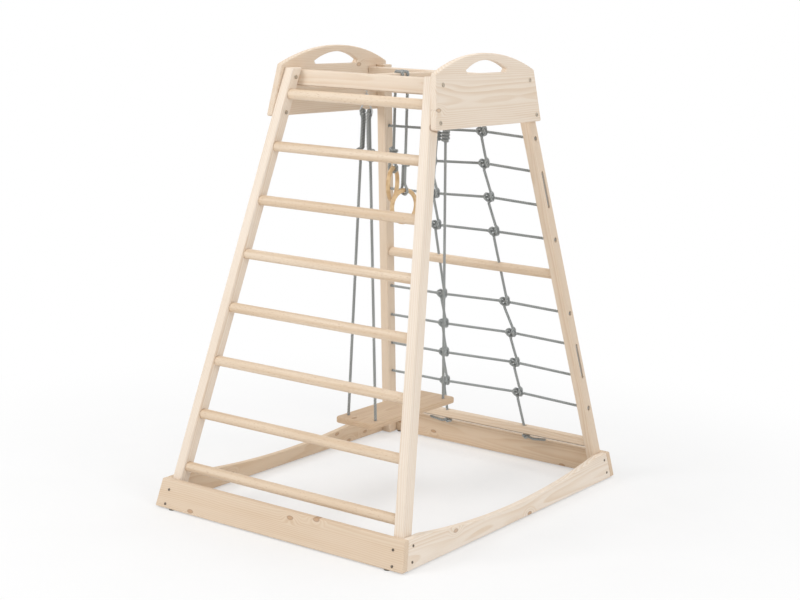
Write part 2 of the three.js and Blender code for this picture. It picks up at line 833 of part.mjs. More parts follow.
function swingRope(name, signX, signY) {
  const [x, y] = [signX * seatHoleX, signY * seatHoleY];
  const knot = at(x, y, seatKnotZ);
  const centre = at(signX * strandTopX, signY * swingHookY, linkBaseZ);
  const tailRun = signY < 0 ? frontTailRun : backTailRun;
  const route = eyedRope([knot, at(x, y, seatTop)], centre, at(signX, 0, 0), steelRadius, swingEyeReach,
    tailRun, swingTurns, swingTailEnd);
  leastGap(name, route);
  const end = barrel(knot, upward, seatKnotRadius, seatKnotHeight);
  return joined([tube(route, ropeRadius, windingSides), end]);
}

for (const [depthName, signY] of depthNames) {
  add(`screw_eye_${depthName}`, screwEye(signY), zinc);
  add(`swing_link_${depthName}`, link(signY), zinc);
  for (const [endName, signX] of endNames) {
    const name = `swing_rope_${depthName}_${endName}`;
    add(name, swingRope(name, signX, signY), greyRope);
  }
}
add('swing_seat', seat(), pine);

// Rings

const ropeSide = beamWidth / 2 + ropeRadius + gap;
const wrapEnd = beamBottom - wrapDrop;
const pivotZ = wrapEnd - gap - ropeRadius;

// Two slanting passes of the ring rope over the beam and one under it
function ringWrap() {
  const [frontY, backY] = [ringPairY - wrapPitch, ringPairY + wrapPitch];
  const over = beamTop + ropeRadius + gap;
  const under = beamBottom - ropeRadius - gap;
  const corners = [
    at(-ropeSide, ringPairY, wrapEnd),
    at(-ropeSide, ringPairY, over),
    at(ropeSide, frontY, over),
    at(ropeSide, frontY, under),
    at(-ropeSide, backY, under),
    at(-ropeSide, backY, over),
    at(ropeSide, ringPairY, over),
    at(ropeSide, ringPairY, wrapEnd),
  ];
  const route = rounded(corners, ropeBend);
  leastGap('ring_rope_wrap', route);
  return tube(route, ropeRadius, ropeSides);
}

add('ring_rope_wrap', ringWrap(), greyRope);

// One hanging end of the rope, its ring, and how far the ring's plane is turned from -Y towards +X
function hangingRing(endName, signX, length, turn, tailRun) {
  const pivot = at(signX * ropeSide, ringPairY, pivotZ);
  const topOfRing = at(signX * ropeSide, ringPairY, pivotZ - length);
  const ringCentreZ = topOfRing.z - ringRadius;
  const tangent = at(Math.sin(turn), -Math.cos(turn), 0);
  const bar = tangent.clone().negate();
  const name = `ring_rope_${endName}`;
  const route = eyedRope([pivot], topOfRing, bar, ringTubeRadius, ringEyeReach, tailRun,
    ringTurns, ringTailEnd);
  leastGap(name, route);
  const ball = placed(new THREE.SphereGeometry(ropeRadius, turnedSides, wireSides),
    (point) => point.add(pivot));
  add(name, joined([tube(route, ropeRadius, windingSides), ball]), greyRope);
  const ring = placed(new THREE.TorusGeometry(ringRadius, ringTubeRadius, ringSides, ringSteps),
    (point) => tangent.clone().multiplyScalar(point.x)
      .add(at(Math.cos(turn) * point.z, Math.sin(turn) * point.z, point.y))
      .add(at(topOfRing.x, topOfRing.y, ringCentreZ)));
  add(`ring_${endName}`, ring, beech);
}

hangingRing('left', -1, leftRopeLength, leftRingTurn, leftTailRun);
hangingRing('right', 1, rightRopeLength, rightRingTurn, rightTailRun);

export default tower;
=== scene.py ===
"""Indoor play tower: pine frame, ladder, rope net, swing and rings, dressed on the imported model."""
import math

import bpy
import numpy as np
from mathutils import Matrix, Vector
from mathutils.geometry import tessellate_polygon


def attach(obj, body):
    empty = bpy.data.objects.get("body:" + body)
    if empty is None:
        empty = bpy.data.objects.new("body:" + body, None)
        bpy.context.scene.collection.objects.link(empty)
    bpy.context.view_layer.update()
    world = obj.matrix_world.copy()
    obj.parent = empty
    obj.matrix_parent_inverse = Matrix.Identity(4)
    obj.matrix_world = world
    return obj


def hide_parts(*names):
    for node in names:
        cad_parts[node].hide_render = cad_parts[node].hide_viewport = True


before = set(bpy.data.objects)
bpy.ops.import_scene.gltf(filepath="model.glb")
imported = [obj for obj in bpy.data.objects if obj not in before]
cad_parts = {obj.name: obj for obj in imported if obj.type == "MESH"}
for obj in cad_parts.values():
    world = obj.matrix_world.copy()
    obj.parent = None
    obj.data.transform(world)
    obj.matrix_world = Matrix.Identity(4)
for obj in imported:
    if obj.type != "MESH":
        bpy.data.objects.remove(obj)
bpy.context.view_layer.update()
draws = np.random.default_rng(11)
# The ways that the rungs, the depth and the height run
ACROSS, BACK, UP = np.eye(3)

# Sizes of the frame, in metres, as the solids have them
GAP = 0.0003
BASE_X, BASE_Y = 0.429, 0.567
LEAN_X, LEAN_Y = 0.13, 0.25
POST_X, POST_Y = 0.032, 0.042
POST_FOOT, POST_TOP = 0.004, 1.288
BOARD, BOARD_TOP = 0.020, 0.086
HANDLE_FOOT, HANDLE_SHOULDER, HANDLE_TOP = 1.146, 1.298, 1.350
HANDLE_HALF, SHOULDER_HALF = 0.279, 0.257
HOLE_FOOT, HOLE_END, HOLE_TOP, HOLE_HALF, HOLE_CORNER = 1.294, 1.304, 1.331, 0.107, 0.008
ARCH_INSET, ARCH_DIP = 0.062, 0.036
RAIL_FOOT, RAIL_TOP, RAIL = 1.236, 1.281, 0.042
BEAM_FOOT, BEAM_TOP, BEAM_HALF = 1.235, 1.280, 0.017
RUNG, SOCKET, SOCKET_DEEP = 0.015, 0.0117, 0.012
RUNGS = [0.121 + 0.1567 * k for k in range(7)] + [1.212]
NET_RUNG = 0.670
NET_ROWS = {"upper": [1.0925, 0.989, 0.8855, 0.782], "lower": [0.5485, 0.445, 0.3415, 0.238]}
NET_BAR_FOOT, NET_BAR_TOP, NET_BAR, UPRIGHT_SHARE = 0.105, 0.132, 0.027, 0.4
HANDLE_BOLTS = {"low": 1.166, "high": 1.268}
ARCHED_BOARD_BOLTS, STRAIGHT_BOARD_BOLTS = (0.066, 0.024), (0.058, 0.016)
ROPE, ROPE_HOLE, LAY, LACE_SINK = 0.0045, 0.0056, 0.026, 0.0062
EYE_SLACK, WINDING, TURN_PITCH, WINDING_BEND, WINDS = 0.0011, 0.0098, 0.0098, 0.006, 3
KNOT_REACH = 0.0095
HOOK_Y, HINGE_Z, LINK_Z = 0.1947, 1.207, 1.172
LINK_HALF, STRAND_X, STEEL = 0.0245, 0.012, 0.0025
SEAT_TOP, SEAT_HALF_X, SEAT_HALF_Y, SEAT_THICK = 0.269, 0.070, 0.220, 0.018
SEAT_HOLE_X, SEAT_HOLE_Y, SEAT_KNOT_Z = 0.050, 0.1782, 0.2582
RING, RING_TUBE, RING_Y, WRAP_PITCH = 0.0475, 0.0065, -0.0243, 0.026
LASH_SIDE, LASH_END, LASH_LOW, LASH_HIGH, ROPE_HINGE_Z = 0.0218, 1.2270, 1.2302, 1.2848, 1.2222

# Eased edges and rounded corners
EDGE, HANDLE_EDGE, NET_BAR_EDGE, SEAT_EDGE, POST_EDGE = 0.0028, 0.0038, 0.0026, 0.004, 0.0025
BOARD_CORNER, BAR_CORNER, SEAT_CORNER, POST_CORNER = 0.004, 0.0016, 0.016, 0.0042


def outer_x(z):
    """How far out the posts' outer side faces stand at a height."""
    return BASE_X - LEAN_X * z


def outer_y(z):
    """How far to the front or back the posts' outer faces stand at a height."""
    return BASE_Y - LEAN_Y * z


def inner_x(z):
    return outer_x(z) - POST_X


def inner_y(z):
    return outer_y(z) - POST_Y


def middle_y(z):
    return outer_y(z) - POST_Y / 2


def unit(vector):
    """Vectors divided by their lengths."""
    return vector / np.linalg.norm(vector, axis=-1, keepdims=True)


ALMOST_ALONG = 0.8


def crosswise(direction, guide=ACROSS):
    """A direction as a unit vector and two more square to it and to each other, the first of them
    square to the guide too, or to the depth where the guide runs almost along the direction."""
    along = unit(np.asarray(direction, float))
    one = unit(np.cross(along, guide if abs(along @ guide) < ALMOST_ALONG else BACK))
    return along, one, np.cross(along, one)


def spokes(one, two, count):
    """Unit vectors at equal angles all round, from one towards two."""
    angle = np.arange(count) * 2 * math.pi / count
    return np.cos(angle)[:, None] * one + np.sin(angle)[:, None] * two


def eased(share):
    """From 0 to 1 with a level start and a level end: three squares less two cubes."""
    return share ** 2 * (3 - 2 * share)


# Camera at the photograph's place, with its small roll kept
AZIMUTH, ELEVATION, ROLL = math.radians(35.215), math.radians(10.86), math.radians(1.68)
AIM, DISTANCE, FOCAL, SENSOR = Vector((0, 0, 0.6)), 4.9329, 73.6, 36


def place_camera():
    """The eye stands at the aim plus distance times the viewing direction, turned about it by the roll."""
    towards = Vector((math.sin(AZIMUTH) * math.cos(ELEVATION),
                      -math.cos(AZIMUTH) * math.cos(ELEVATION), math.sin(ELEVATION)))
    right = Vector((math.cos(AZIMUTH), math.sin(AZIMUTH), 0))
    above = towards.cross(right)
    turned_right = math.cos(ROLL) * right + math.sin(ROLL) * above
    turned_above = math.cos(ROLL) * above - math.sin(ROLL) * right
    lens = bpy.data.cameras.new("camera")
    lens.lens, lens.sensor_width = FOCAL, SENSOR
    camera = bpy.data.objects.new("camera", lens)
    bpy.context.collection.objects.link(camera)
    turn = Matrix((turned_right, turned_above, towards)).transposed().to_4x4()
    camera.matrix_world = Matrix.Translation(AIM + DISTANCE * towards) @ turn
    bpy.context.scene.camera = camera


# Shells: points, faces of four corners, faces of three, and where wanted their map coordinates
def shell(points, quads, tris, quad_map=None, tri_map=None):
    """A shell as a dictionary, its faces turned outwards by the sign of the volume they enclose."""
    three = np.concatenate([quads[:, [0, 1, 2]], quads[:, [0, 2, 3]], tris])
    a, b, c = (points[three[:, i]] for i in range(3))
    if np.einsum("ij,ij->i", a, np.cross(b, c)).sum() < 0:
        quads, tris = quads[:, ::-1], tris[:, ::-1]
        if quad_map is not None:
            quad_map, tri_map = quad_map[:, ::-1], tri_map[:, ::-1]
    return {"points": points, "quads": quads, "tris": tris, "maps": (quad_map, tri_map)}


def together(shells):
    """Several shells as one, each one's faces counted on from the points before it."""
    starts = np.cumsum([0] + [len(s["points"]) for s in shells])
    joined = {key: np.concatenate([s[key] + start for s, start in zip(shells, starts)])
              for key in ("quads", "tris")}
    joined["points"] = np.concatenate([s["points"] for s in shells])
    mapped = shells[0]["maps"][0] is not None
    joined["maps"] = tuple(np.concatenate([s["maps"][i] for s in shells]) for i in (0, 1)) \
        if mapped else (None, None)
    return joined


def woven(rows, columns, endless=False):
    """Faces between neighbouring rows of a grid whose columns close on themselves."""
    row = np.arange(rows if endless else rows - 1)[:, None]
    column = np.arange(columns)[None]
    low, high = row * columns, ((row + 1) % rows) * columns
    beside = (column + 1) % columns
    return np.stack([low + column, low + beside, high + beside, high + column], -1).reshape(-1, 4)


# The flat rim inside an eased edge, and the area of a triangle that is too thin to keep
FLAT_RIM, SLIVER = 0.0006, 1e-14


def slab(outlines, thickness, edge, place, steps=4):
    """A board: its outlines are moved in by edge (1 - sin a) while its depth runs edge (1 - cos a) in
    from either face, a from 0 to a quarter turn, and both faces are closed inside a narrow flat rim."""
    angle = np.linspace(0, math.pi / 2, steps)
    inset = np.concatenate([[edge + FLAT_RIM], edge * (1 - np.sin(angle))])
    depth = np.concatenate([[0], edge * (1 - np.cos(angle))]) - thickness / 2
    inset = np.concatenate([inset, inset[::-1]])
    depth = np.concatenate([depth, -depth[::-1]])
    points, quads, first, last, start = [], [], [], [], 0
    for number, outline in enumerate(outlines):
        x, y = outline.T
        area = (x * np.roll(y, -1) - y * np.roll(x, -1)).sum()
        outline = outline if (area > 0) == (number == 0) else outline[::-1]
        ahead = unit(np.roll(outline, -1, 0) - outline)
        behind = np.roll(ahead, 1, 0)
        mitre = (ahead + behind) @ np.array([[0, 1], [-1, 0]])
        mitre /= 1 + (ahead * behind).sum(1, keepdims=True)
        flat = outline[None] + inset[:, None, None] * mitre[None]
        count = len(outline)
        points.append(place(flat[..., 0], flat[..., 1], depth[:, None] + 0 * flat[..., 0]).reshape(-1, 3))
        quads.append(woven(len(inset), count) + start)
        first.append((start, flat[0]))
        last.append(start + (len(inset) - 1) * count)
        start += len(inset) * count
    lines = [[Vector((*p, 0)) for p in flat] for _, flat in first]
    low = np.concatenate([s + np.arange(len(flat)) for s, flat in first])
    high = np.concatenate([s + np.arange(len(flat)) for s, (_, flat) in zip(last, first)])
    fill = np.array(tessellate_polygon(lines))
    corners = np.concatenate([flat for _, flat in first])[fill]
    one, two = corners[:, 1] - corners[:, 0], corners[:, 2] - corners[:, 0]
    crossed = one[:, 0] * two[:, 1] - one[:, 1] * two[:, 0]
    fill = np.where((crossed < 0)[:, None], fill[:, ::-1], fill)[np.abs(crossed) > SLIVER]
    return shell(np.concatenate(points), np.concatenate(quads),
                 np.concatenate([low[fill[:, ::-1]], high[fill]]))


def rounded(corners, radii, steps=6):
    """An outline whose corners are arcs that touch both of their sides."""
    corners = np.asarray(corners, float)
    radii = np.broadcast_to(radii, len(corners))[:, None]
    back, ahead = unit(np.roll(corners, 1, 0) - corners), unit(np.roll(corners, -1, 0) - corners)
    half = np.arccos(np.clip((back * ahead).sum(1), -1, 1))[:, None] / 2
    centre = corners + unit(back + ahead) * radii / np.sin(half)
    start = corners + back * radii / np.tan(half) - centre
    stop = corners + ahead * radii / np.tan(half) - centre
    sweep = np.linspace(0, 1, steps)[None, :, None] * (math.pi - 2 * half)[:, None]
    whole = (math.pi - 2 * half)[:, None]
    arc = (np.sin(whole - sweep) * start[:, None] + np.sin(sweep) * stop[:, None]) / np.sin(whole)
    return (centre[:, None] + arc).reshape(-1, 2)


def arc_radius(half, rise):
    """The radius of an arc of that half width and rise: their squares' sum over twice the rise."""
    return (half ** 2 + rise ** 2) / (2 * rise)


def arc(half, ends, middle, inset=0.0, count=61):
    """Points of the arc through both ends and the middle, from one side to the other, each where the
    circle stands: the middle less the radius, and the root of radius squared less y squared."""
    radius = arc_radius(half, middle - ends)
    y = np.linspace(half - inset, inset - half, count)
    return np.stack([y, middle - radius + np.sign(radius) * np.sqrt(radius ** 2 - y ** 2)], 1)


def tapered(foot, top, reach, corner=BAR_CORNER, steps=4):
    """The outline of a board or bar whose half length at its foot and its top is its reach there."""
    low, high = reach(foot), reach(top)
    return rounded([(-low, foot), (low, foot), (high, top), (-high, top)], corner, steps)


def circle(radius, count):
    return radius * spokes(*np.eye(2), count)


def risen(seat, along, heights, rings, ends):
    """Rings of points, each at its height along a direction from the seat, and a pole at either end."""
    grid = np.asarray(seat) + heights[:, None, None] * along + rings
    return capped(grid, np.asarray(seat) + np.multiply.outer(ends, along))


def turned(profile, base, direction, sides=32):
    """A turned piece: each profile point is a radius and a height, carried round the direction.
    The first and last points lie on the axis and close it."""
    profile = np.asarray(profile, float)
    along, one, two = crosswise(direction)
    rings = profile[1:-1, 0, None, None] * spokes(one, two, sides)
    return risen(base, along, profile[1:-1, 1], rings, profile[[0, -1], 1])


def capped(grid, poles, maps=None):
    """A grid of rings closed at both ends by a fan round a pole."""
    rows, columns = grid.shape[:2]
    points = np.concatenate([grid.reshape(-1, 3), poles])
    column = np.arange(columns)
    beside = (column + 1) % columns
    top = (rows - 1) * columns
    low_pole, high_pole = np.full(columns, rows * columns), np.full(columns, rows * columns + 1)
    tris = np.concatenate([np.stack([low_pole, beside, column], 1),
                           np.stack([high_pole, top + column, top + beside], 1)])
    if maps is None:
        return shell(points, woven(rows, columns), tris)
    along, ends = maps
    u = np.repeat(along, columns).reshape(rows, columns)
    v = np.broadcast_to(column / columns, (rows, columns))
    step = 1 / columns
    quad_map = np.stack([np.stack([u[:-1], v[:-1]], -1), np.stack([u[:-1], v[:-1] + step], -1),
                         np.stack([u[1:], v[1:] + step], -1), np.stack([u[1:], v[1:]], -1)], 2)
    around = column * step
    low_map = np.stack([np.stack([0 * around + ends[0], around + step / 2], 1),
                        np.stack([0 * around + along[0], around + step], 1),
                        np.stack([0 * around + along[0], around], 1)], 1)
    high_map = np.stack([np.stack([0 * around + ends[1], around + step / 2], 1),
                         np.stack([0 * around + along[-1], around], 1),
                         np.stack([0 * around + along[-1], around + step], 1)], 1)
    return shell(points, woven(rows, columns), tris, quad_map.reshape(-1, 4, 2),
                 np.concatenate([low_map, high_map]))


STRAIGHT = 1e-4


def bent(corners, bend, steps=9):
    """The path through the corners, each rounded by an arc that touches both of its runs."""
    corners = [np.asarray(c, float) for c in corners]
    bends = np.broadcast_to(bend, len(corners))
    route = [corners[0]]
    for radius, before, here, after in zip(bends[1:], corners, corners[1:], corners[2:]):
        onward, away = unit(here - before), unit(after - here)
        turn = math.acos(np.clip(onward @ away, -1, 1))
        if turn < STRAIGHT:
            route.append(here)
            continue
        side = unit(away - onward * (onward @ away))
        start = here - onward * radius * math.tan(turn / 2)
        angle = np.linspace(0, turn, steps)[:, None]
        route.extend(start + radius * (side * (1 - np.cos(angle)) + onward * np.sin(angle)))
    return np.array(route + [corners[-1]])


def stepped(route, step):
    """Points at equal distances along a route."""
    length = np.concatenate([[0], np.cumsum(np.linalg.norm(np.diff(route, axis=0), axis=1))])
    places = np.linspace(0, length[-1], max(int(length[-1] / step), 3))
    return np.stack([np.interp(places, length, route[:, i]) for i in range(3)], 1), places


def carried(route, first=None):
    """At each point of a route the tangent, the normal before it with its share along the new
    tangent taken off, and their cross product."""
    tangent = unit(np.gradient(route, axis=0))
    last = crosswise(tangent[0], UP)[1] if first is None else first
    normal = np.empty_like(route)
    for i, ahead in enumerate(tangent):
        last = unit(last - ahead * (ahead @ last))
        normal[i] = last
    return tangent, normal, np.cross(tangent, normal)


# A rope's section: three round strands, each of them so wide and so far from the middle
STRAND_COUNT, STRAND_WIDE, STRAND_OUT, ROPE_COLUMNS, ROPE_DOME = 3, 0.64, 0.36, 24, 3
strand = (np.arange(ROPE_COLUMNS) / ROPE_COLUMNS * STRAND_COUNT + 0.5) % 1 - 0.5
strand *= 2 * math.pi / STRAND_COUNT
STRANDS = STRAND_OUT * np.cos(strand) + np.sqrt(STRAND_WIDE ** 2 - (STRAND_OUT * np.sin(strand)) ** 2)


def rope(route, radius=ROPE, step=0.0018, round_end=1.0):
    """A laid rope: three round strands, each 0.64 of the radius wide at 0.36 of it from the middle,
    turn once in every lay along the route, and the ends close as half ellipsoids."""
    route, places = stepped(np.asarray(route), step)
    tangent, normal, side = carried(route)
    angle = np.arange(ROPE_COLUMNS) / ROPE_COLUMNS * 2 * math.pi
    rise = np.linspace(0, 1, ROPE_DOME + 2)[1:-1] * math.pi / 2
    reach = radius * round_end * np.sin(rise)
    row = np.pad(np.arange(len(route)), ROPE_DOME, "edge")
    shift = np.concatenate([-reach[::-1], np.zeros(len(route)), reach])
    scale = np.concatenate([np.cos(rise)[::-1], np.ones(len(route)), np.cos(rise)])
    along = places[row] + shift
    turn = angle[None] + (along / LAY * 2 * math.pi)[:, None]
    section = (radius * scale)[:, None] * STRANDS[None]
    grid = (route[row] + shift[:, None] * tangent[row])[:, None] \
        + (section * np.cos(turn))[..., None] * normal[row][:, None] \
        + (section * np.sin(turn))[..., None] * side[row][:, None]
    tip = radius * round_end
    poles = np.stack([route[0] - tip * tangent[0], route[-1] + tip * tangent[-1]])
    return capped(grid, poles, (along / LAY, (-tip / LAY, (places[-1] + tip) / LAY)))


# The dome on a wire's end: its height in radii, and how wide and how far up its one ring stands
WIRE_DOME, DOME_RING_WIDE, DOME_RING_UP = 0.6, 0.8, 0.6


def wire(route, radius, sides=18, endless=False, first=None):
    """A round wire: a circle carried along the route, closed on itself or by domed ends."""
    route = route[:-1] if endless else route
    tangent, normal, side = carried(route, first)
    angle = (np.arange(sides) / sides * 2 * math.pi)[None, :, None]
    grid = route[:, None] + radius * (np.cos(angle) * normal[:, None] + np.sin(angle) * side[:, None])
    if endless:
        return shell(grid.reshape(-1, 3), woven(len(route), sides, True), np.zeros((0, 3), int))
    outwards = WIRE_DOME * radius * np.stack([-tangent[0], tangent[-1]])
    middles = route[[0, -1]]
    rings = middles[:, None] + DOME_RING_WIDE * (grid[[0, -1]] - middles[:, None]) \
        + DOME_RING_UP * outwards[:, None]
    return capped(np.concatenate([rings[:1], grid, rings[1:]]), middles + outwards)


# Finishes
def colour(red, green, blue):
    """A colour as it is seen, turned to the linear numbers that a shader takes."""
    return tuple(c / 12.92 if c <= 0.04045 else ((c + 0.055) / 1.055) ** 2.4
                 for c in (red / 255, green / 255, blue / 255)) + (1,)


class Finish:
    """A material whose steps are added one by one, each value a number, a colour or another's output."""

    def __init__(self, name):
        self.material = bpy.data.materials.new(name)
        self.material.use_nodes = True
        self.tree = self.material.node_tree
        self.shader = self.tree.nodes["Principled BSDF"]

    def set(self, node, key, value):
        socket = node.inputs[key]
        if isinstance(value, bpy.types.NodeSocket):
            self.tree.links.new(value, socket)
        else:
            socket.default_value = value

    def step(self, kind, output=0, settings=(), **values):
        node = self.tree.nodes.new("ShaderNode" + kind)
        for key, value in dict(settings).items():
            setattr(node, key, value)
        for key, value in values.items():
            self.set(node, int(key[1:]) if key[1:].isdigit() else key.replace("_", " "), value)
        return node.outputs[output]

    def attribute(self, name, output="Vector"):
        return self.step("Attribute", output, {"attribute_name": name})

    def math(self, operation, a, b=0.0):
        return self.step("Math", 0, {"operation": operation}, i0=a, i1=b)

    def times(self, a, b):
        return self.math("MULTIPLY", a, b)

    def plus(self, a, b):
        return self.math("ADD", a, b)

    def stretched(self, vector, scale, offset=(0, 0, 0)):
        return self.step("Mapping", 0, Vector=vector, Scale=scale, Location=offset)

    def cloud(self, vector, scale, detail):
        return self.step("TexNoise", "Fac", Vector=vector, Scale=scale, Detail=detail)

    def drawn_cloud(self, vector, scales, detail, offset=(0, 0, 0)):
        """A cloud with its own scale in each direction, drawn out where that is low."""
        return self.cloud(self.stretched(vector, scales, offset), 1, detail)

    def between(self, value, low, high, first=0.0, last=1.0):
        return self.step("MapRange", 0, {"interpolation_type": "SMOOTHSTEP"}, Value=value, From_Min=low,
                         From_Max=high, To_Min=first, To_Max=last)

    def mixed(self, share, first, second, way="MIX"):
        node = self.tree.nodes.new("ShaderNodeMix")
        node.data_type, node.blend_type = "RGBA", way
        for key, value in ((0, share), (6, first), (7, second)):
            self.set(node, key, value)
        return node.outputs[2]

    def laid(self, base, over, pattern, low, high, most):
        """The base, with a second colour over it by most of it where the pattern is high."""
        return self.mixed(self.between(pattern, low, high, 0, most), base, over)

    def bump(self, height, distance, strength):
        self.set(self.shader, "Normal", self.step("Bump", 0, Height=height, Distance=distance,
                                                  Strength=strength))

    def finished(self, base, roughness, **values):
        self.set(self.shader, "Base Color", base)
        self.set(self.shader, "Roughness", roughness)
        for key, value in values.items():
            self.set(self.shader, key.replace("_", " "), value)
        return self.material


# Pine: cells of the knots in a metre; from where to where in a cell a knot swells the rings, has its
# heart and starts and ends its rim; the sway, the swelling and the width of a ring in metres; and where
# in a ring the late wood comes and goes
KNOT_CELLS, KNOT_SWELL, KNOT_HEART = (5.6, 11.0, 1), (0.03, 0.25), (0.036, 0.060)
RIM_STARTS, RIM_ENDS, RIM_BROWN = (0.032, 0.052), (0.056, 0.074), colour(148, 108, 76)
KNOT_FADE, HEART_SHARE, RIM_SHARE = 0.02, 0.72, 0.55
RING_SWAY, RING_SWELL, RING_WIDTH = 0.030, 0.011, 0.0047
LATE_COMES, LATE_GOES = (0.15, 0.86), (0.90, 1.0)
# The colours that a piece's darkening pulls its pine and its turned wood towards: a random tone of the
# piece's own, and on back and inner pieces a given value that is partly painted shade
DARK_PINE, DARK_TURNED = (0.80, 0.70, 0.58, 1), (0.93, 0.89, 0.84, 1)


def pine_finish(name, early, late, knot, knots_from):
    """Sawn pine: rings round a pith that lies beside the board, swayed by a slow cloud and bulging
    round sparse knots, with fine fibres along the grain."""
    wood = Finish(name)
    grain, tone_and_shade = wood.attribute("grain"), wood.attribute("tone_and_shade", "Fac")
    cells = wood.tree.nodes.new("ShaderNodeTexVoronoi")
    cells.voronoi_dimensions = "2D"
    wood.set(cells, "Vector", wood.stretched(grain, KNOT_CELLS))
    wood.set(cells, "Scale", 1.0)
    away = cells.outputs["Distance"]
    chosen = wood.step("SeparateColor", 0, Color=cells.outputs["Color"])
    present = wood.between(chosen, knots_from, knots_from + KNOT_FADE)
    nearness = wood.times(present, wood.between(away, *KNOT_SWELL, 1, 0))
    heart = wood.times(present, wood.between(away, *KNOT_HEART, 1, 0))
    rim = wood.times(wood.between(away, *RIM_STARTS), wood.between(away, *RIM_ENDS, 1, 0))
    rim = wood.times(present, rim)

    sway = wood.times(wood.drawn_cloud(grain, (1.7, 13, 13), 1.5), RING_SWAY)
    pith = wood.step("VectorMath", "Value", {"operation": "LENGTH"},
                     i0=wood.stretched(grain, (0, 1, 1)))
    radius = wood.plus(wood.plus(pith, sway), wood.times(nearness, RING_SWELL))
    phase = wood.math("FRACT", wood.math("DIVIDE", radius, RING_WIDTH))
    ring = wood.times(wood.between(phase, *LATE_COMES), wood.between(phase, *LATE_GOES, 1, 0))
    fibres = wood.drawn_cloud(grain, (12, 760, 760), 2)
    streaks = wood.drawn_cloud(grain, (2.2, 46, 46), 3, (5, 2, 1))

    share = wood.times(ring, wood.between(streaks, 0.3, 0.75, 0.35, 0.95))
    base = wood.mixed(share, early, late)
    base = wood.laid(base, late, fibres, 0.35, 0.75, most=0.22)
    base = wood.laid(base, late, streaks, 0.55, 0.8, most=0.3)
    # The piece's darkening: its own random tone, and where a value is given, partly painted shade on
    # pieces seen in shade
    base = wood.mixed(tone_and_shade, base, DARK_PINE, "MULTIPLY")
    base = wood.mixed(wood.times(heart, HEART_SHARE), base, knot)
    base = wood.mixed(wood.times(rim, RIM_SHARE), base, RIM_BROWN)
    relief = wood.plus(wood.times(fibres, 0.6), wood.times(ring, 0.5))
    wood.bump(relief, distance=0.00012, strength=0.8)
    rough = wood.between(fibres, 0.3, 0.8, 0.5, 0.68)
    return wood.finished(base, rough, Specular_IOR_Level=0.35)


def turned_finish(name, light, dark, fleck):
    """Turned wood: a close, even grain with short darker flecks along it."""
    wood = Finish(name)
    grain, tone_and_shade = wood.attribute("grain"), wood.attribute("tone_and_shade", "Fac")
    flecks = wood.drawn_cloud(grain, (95, 620, 620), 1)
    bands = wood.drawn_cloud(grain, (1.6, 70, 70), 3)
    fibres = wood.drawn_cloud(grain, (10, 900, 900), 2)
    base = wood.mixed(wood.between(bands, 0.35, 0.7), light, dark)
    base = wood.laid(base, fleck, flecks, 0.62, 0.74, most=0.55)
    # The piece's darkening; the rungs and rings get only a random tone of their own
    base = wood.mixed(tone_and_shade, base, DARK_TURNED, "MULTIPLY")
    wood.bump(wood.plus(fibres, wood.times(flecks, 0.5)), distance=0.0001, strength=0.7)
    rough = wood.between(fibres, 0.3, 0.8, 0.42, 0.58)
    return wood.finished(base, rough, Specular_IOR_Level=0.4)


# Yarns that a line meets once round the rope, and in one lay along it, and the cord's greys, the darkest
# of them painted shade in the lays
YARNS_ROUND, YARNS_ALONG = 21.0, 9.0
LAY_SHADE_GREY, CROWN_GREY, YARN_GREY = colour(112, 117, 118), colour(188, 193, 192), colour(216, 219, 217)
FLUFF_GREY, PATCH_GREY = colour(142, 147, 148), colour(205, 207, 204)


def rope_finish():
    """Laid grey cord: strands in the cord's grey on their crowns, with painted shade in the lays between
    them, and fine yarns that run slantwise across each strand."""
    cord = Finish("grey_rope")
    place = cord.step("UVMap", 0, {"uv_map": "lay"})
    parts = cord.tree.nodes.new("ShaderNodeSeparateXYZ")
    cord.set(parts, 0, place)
    along, around = parts.outputs[0], parts.outputs[1]
    crown = cord.math("COSINE", cord.times(around, STRAND_COUNT * 2 * math.pi))
    slant = cord.plus(cord.times(around, YARNS_ROUND), cord.times(along, YARNS_ALONG))
    yarn = cord.math("SINE", cord.times(slant, 2 * math.pi))
    fluff = cord.drawn_cloud(place, (34, 40, 1), 3)
    patches = cord.drawn_cloud(place, (0.45, 2, 1), 2)
    # Painted shade in the lays between the strands; the crowns keep the cord's own grey
    base = cord.mixed(cord.between(crown, -1.0, 0.35), LAY_SHADE_GREY, CROWN_GREY)
    base = cord.laid(base, YARN_GREY, yarn, -0.9, 0.9, most=0.3)
    base = cord.laid(base, FLUFF_GREY, fluff, 0.4, 0.75, most=0.4)
    base = cord.laid(base, PATCH_GREY, patches, 0.4, 0.7, most=0.16)
    cord.bump(cord.plus(cord.times(yarn, 0.5), fluff), distance=0.0006, strength=0.9)
    return cord.finished(base, 0.92, Sheen_Weight=0.25, Sheen_Roughness=0.6, Specular_IOR_Level=0.2)


def metal_finish(name, bright, dull, rough, shine):
    """Plated or blackened steel: two shades in slow clouds, with a fine grain in its roughness."""
    steel = Finish(name)
    place = steel.step("TexCoord", "Object")
    clouds, specks = steel.cloud(place, 130, 3), steel.cloud(place, 2600, 2)
    base = steel.mixed(steel.between(clouds, 0.35, 0.7), bright, dull)
    steel.bump(specks, distance=0.00004, strength=0.6)
    return steel.finished(base, steel.between(specks, 0.3, 0.75, rough, rough + 0.14), Metallic=shine)


def felt_finish():
    """Pressed felt: short fibres of two greys."""
    felt = Finish("glide_felt")
    fibres = felt.cloud(felt.step("TexCoord", "Object"), 1900, 4)
    base = felt.mixed(felt.between(fibres, 0.35, 0.7), colour(92, 87, 80), colour(126, 120, 111))
    felt.bump(fibres, distance=0.0004, strength=1)
    return felt.finished(base, 0.97, Sheen_Weight=0.3)


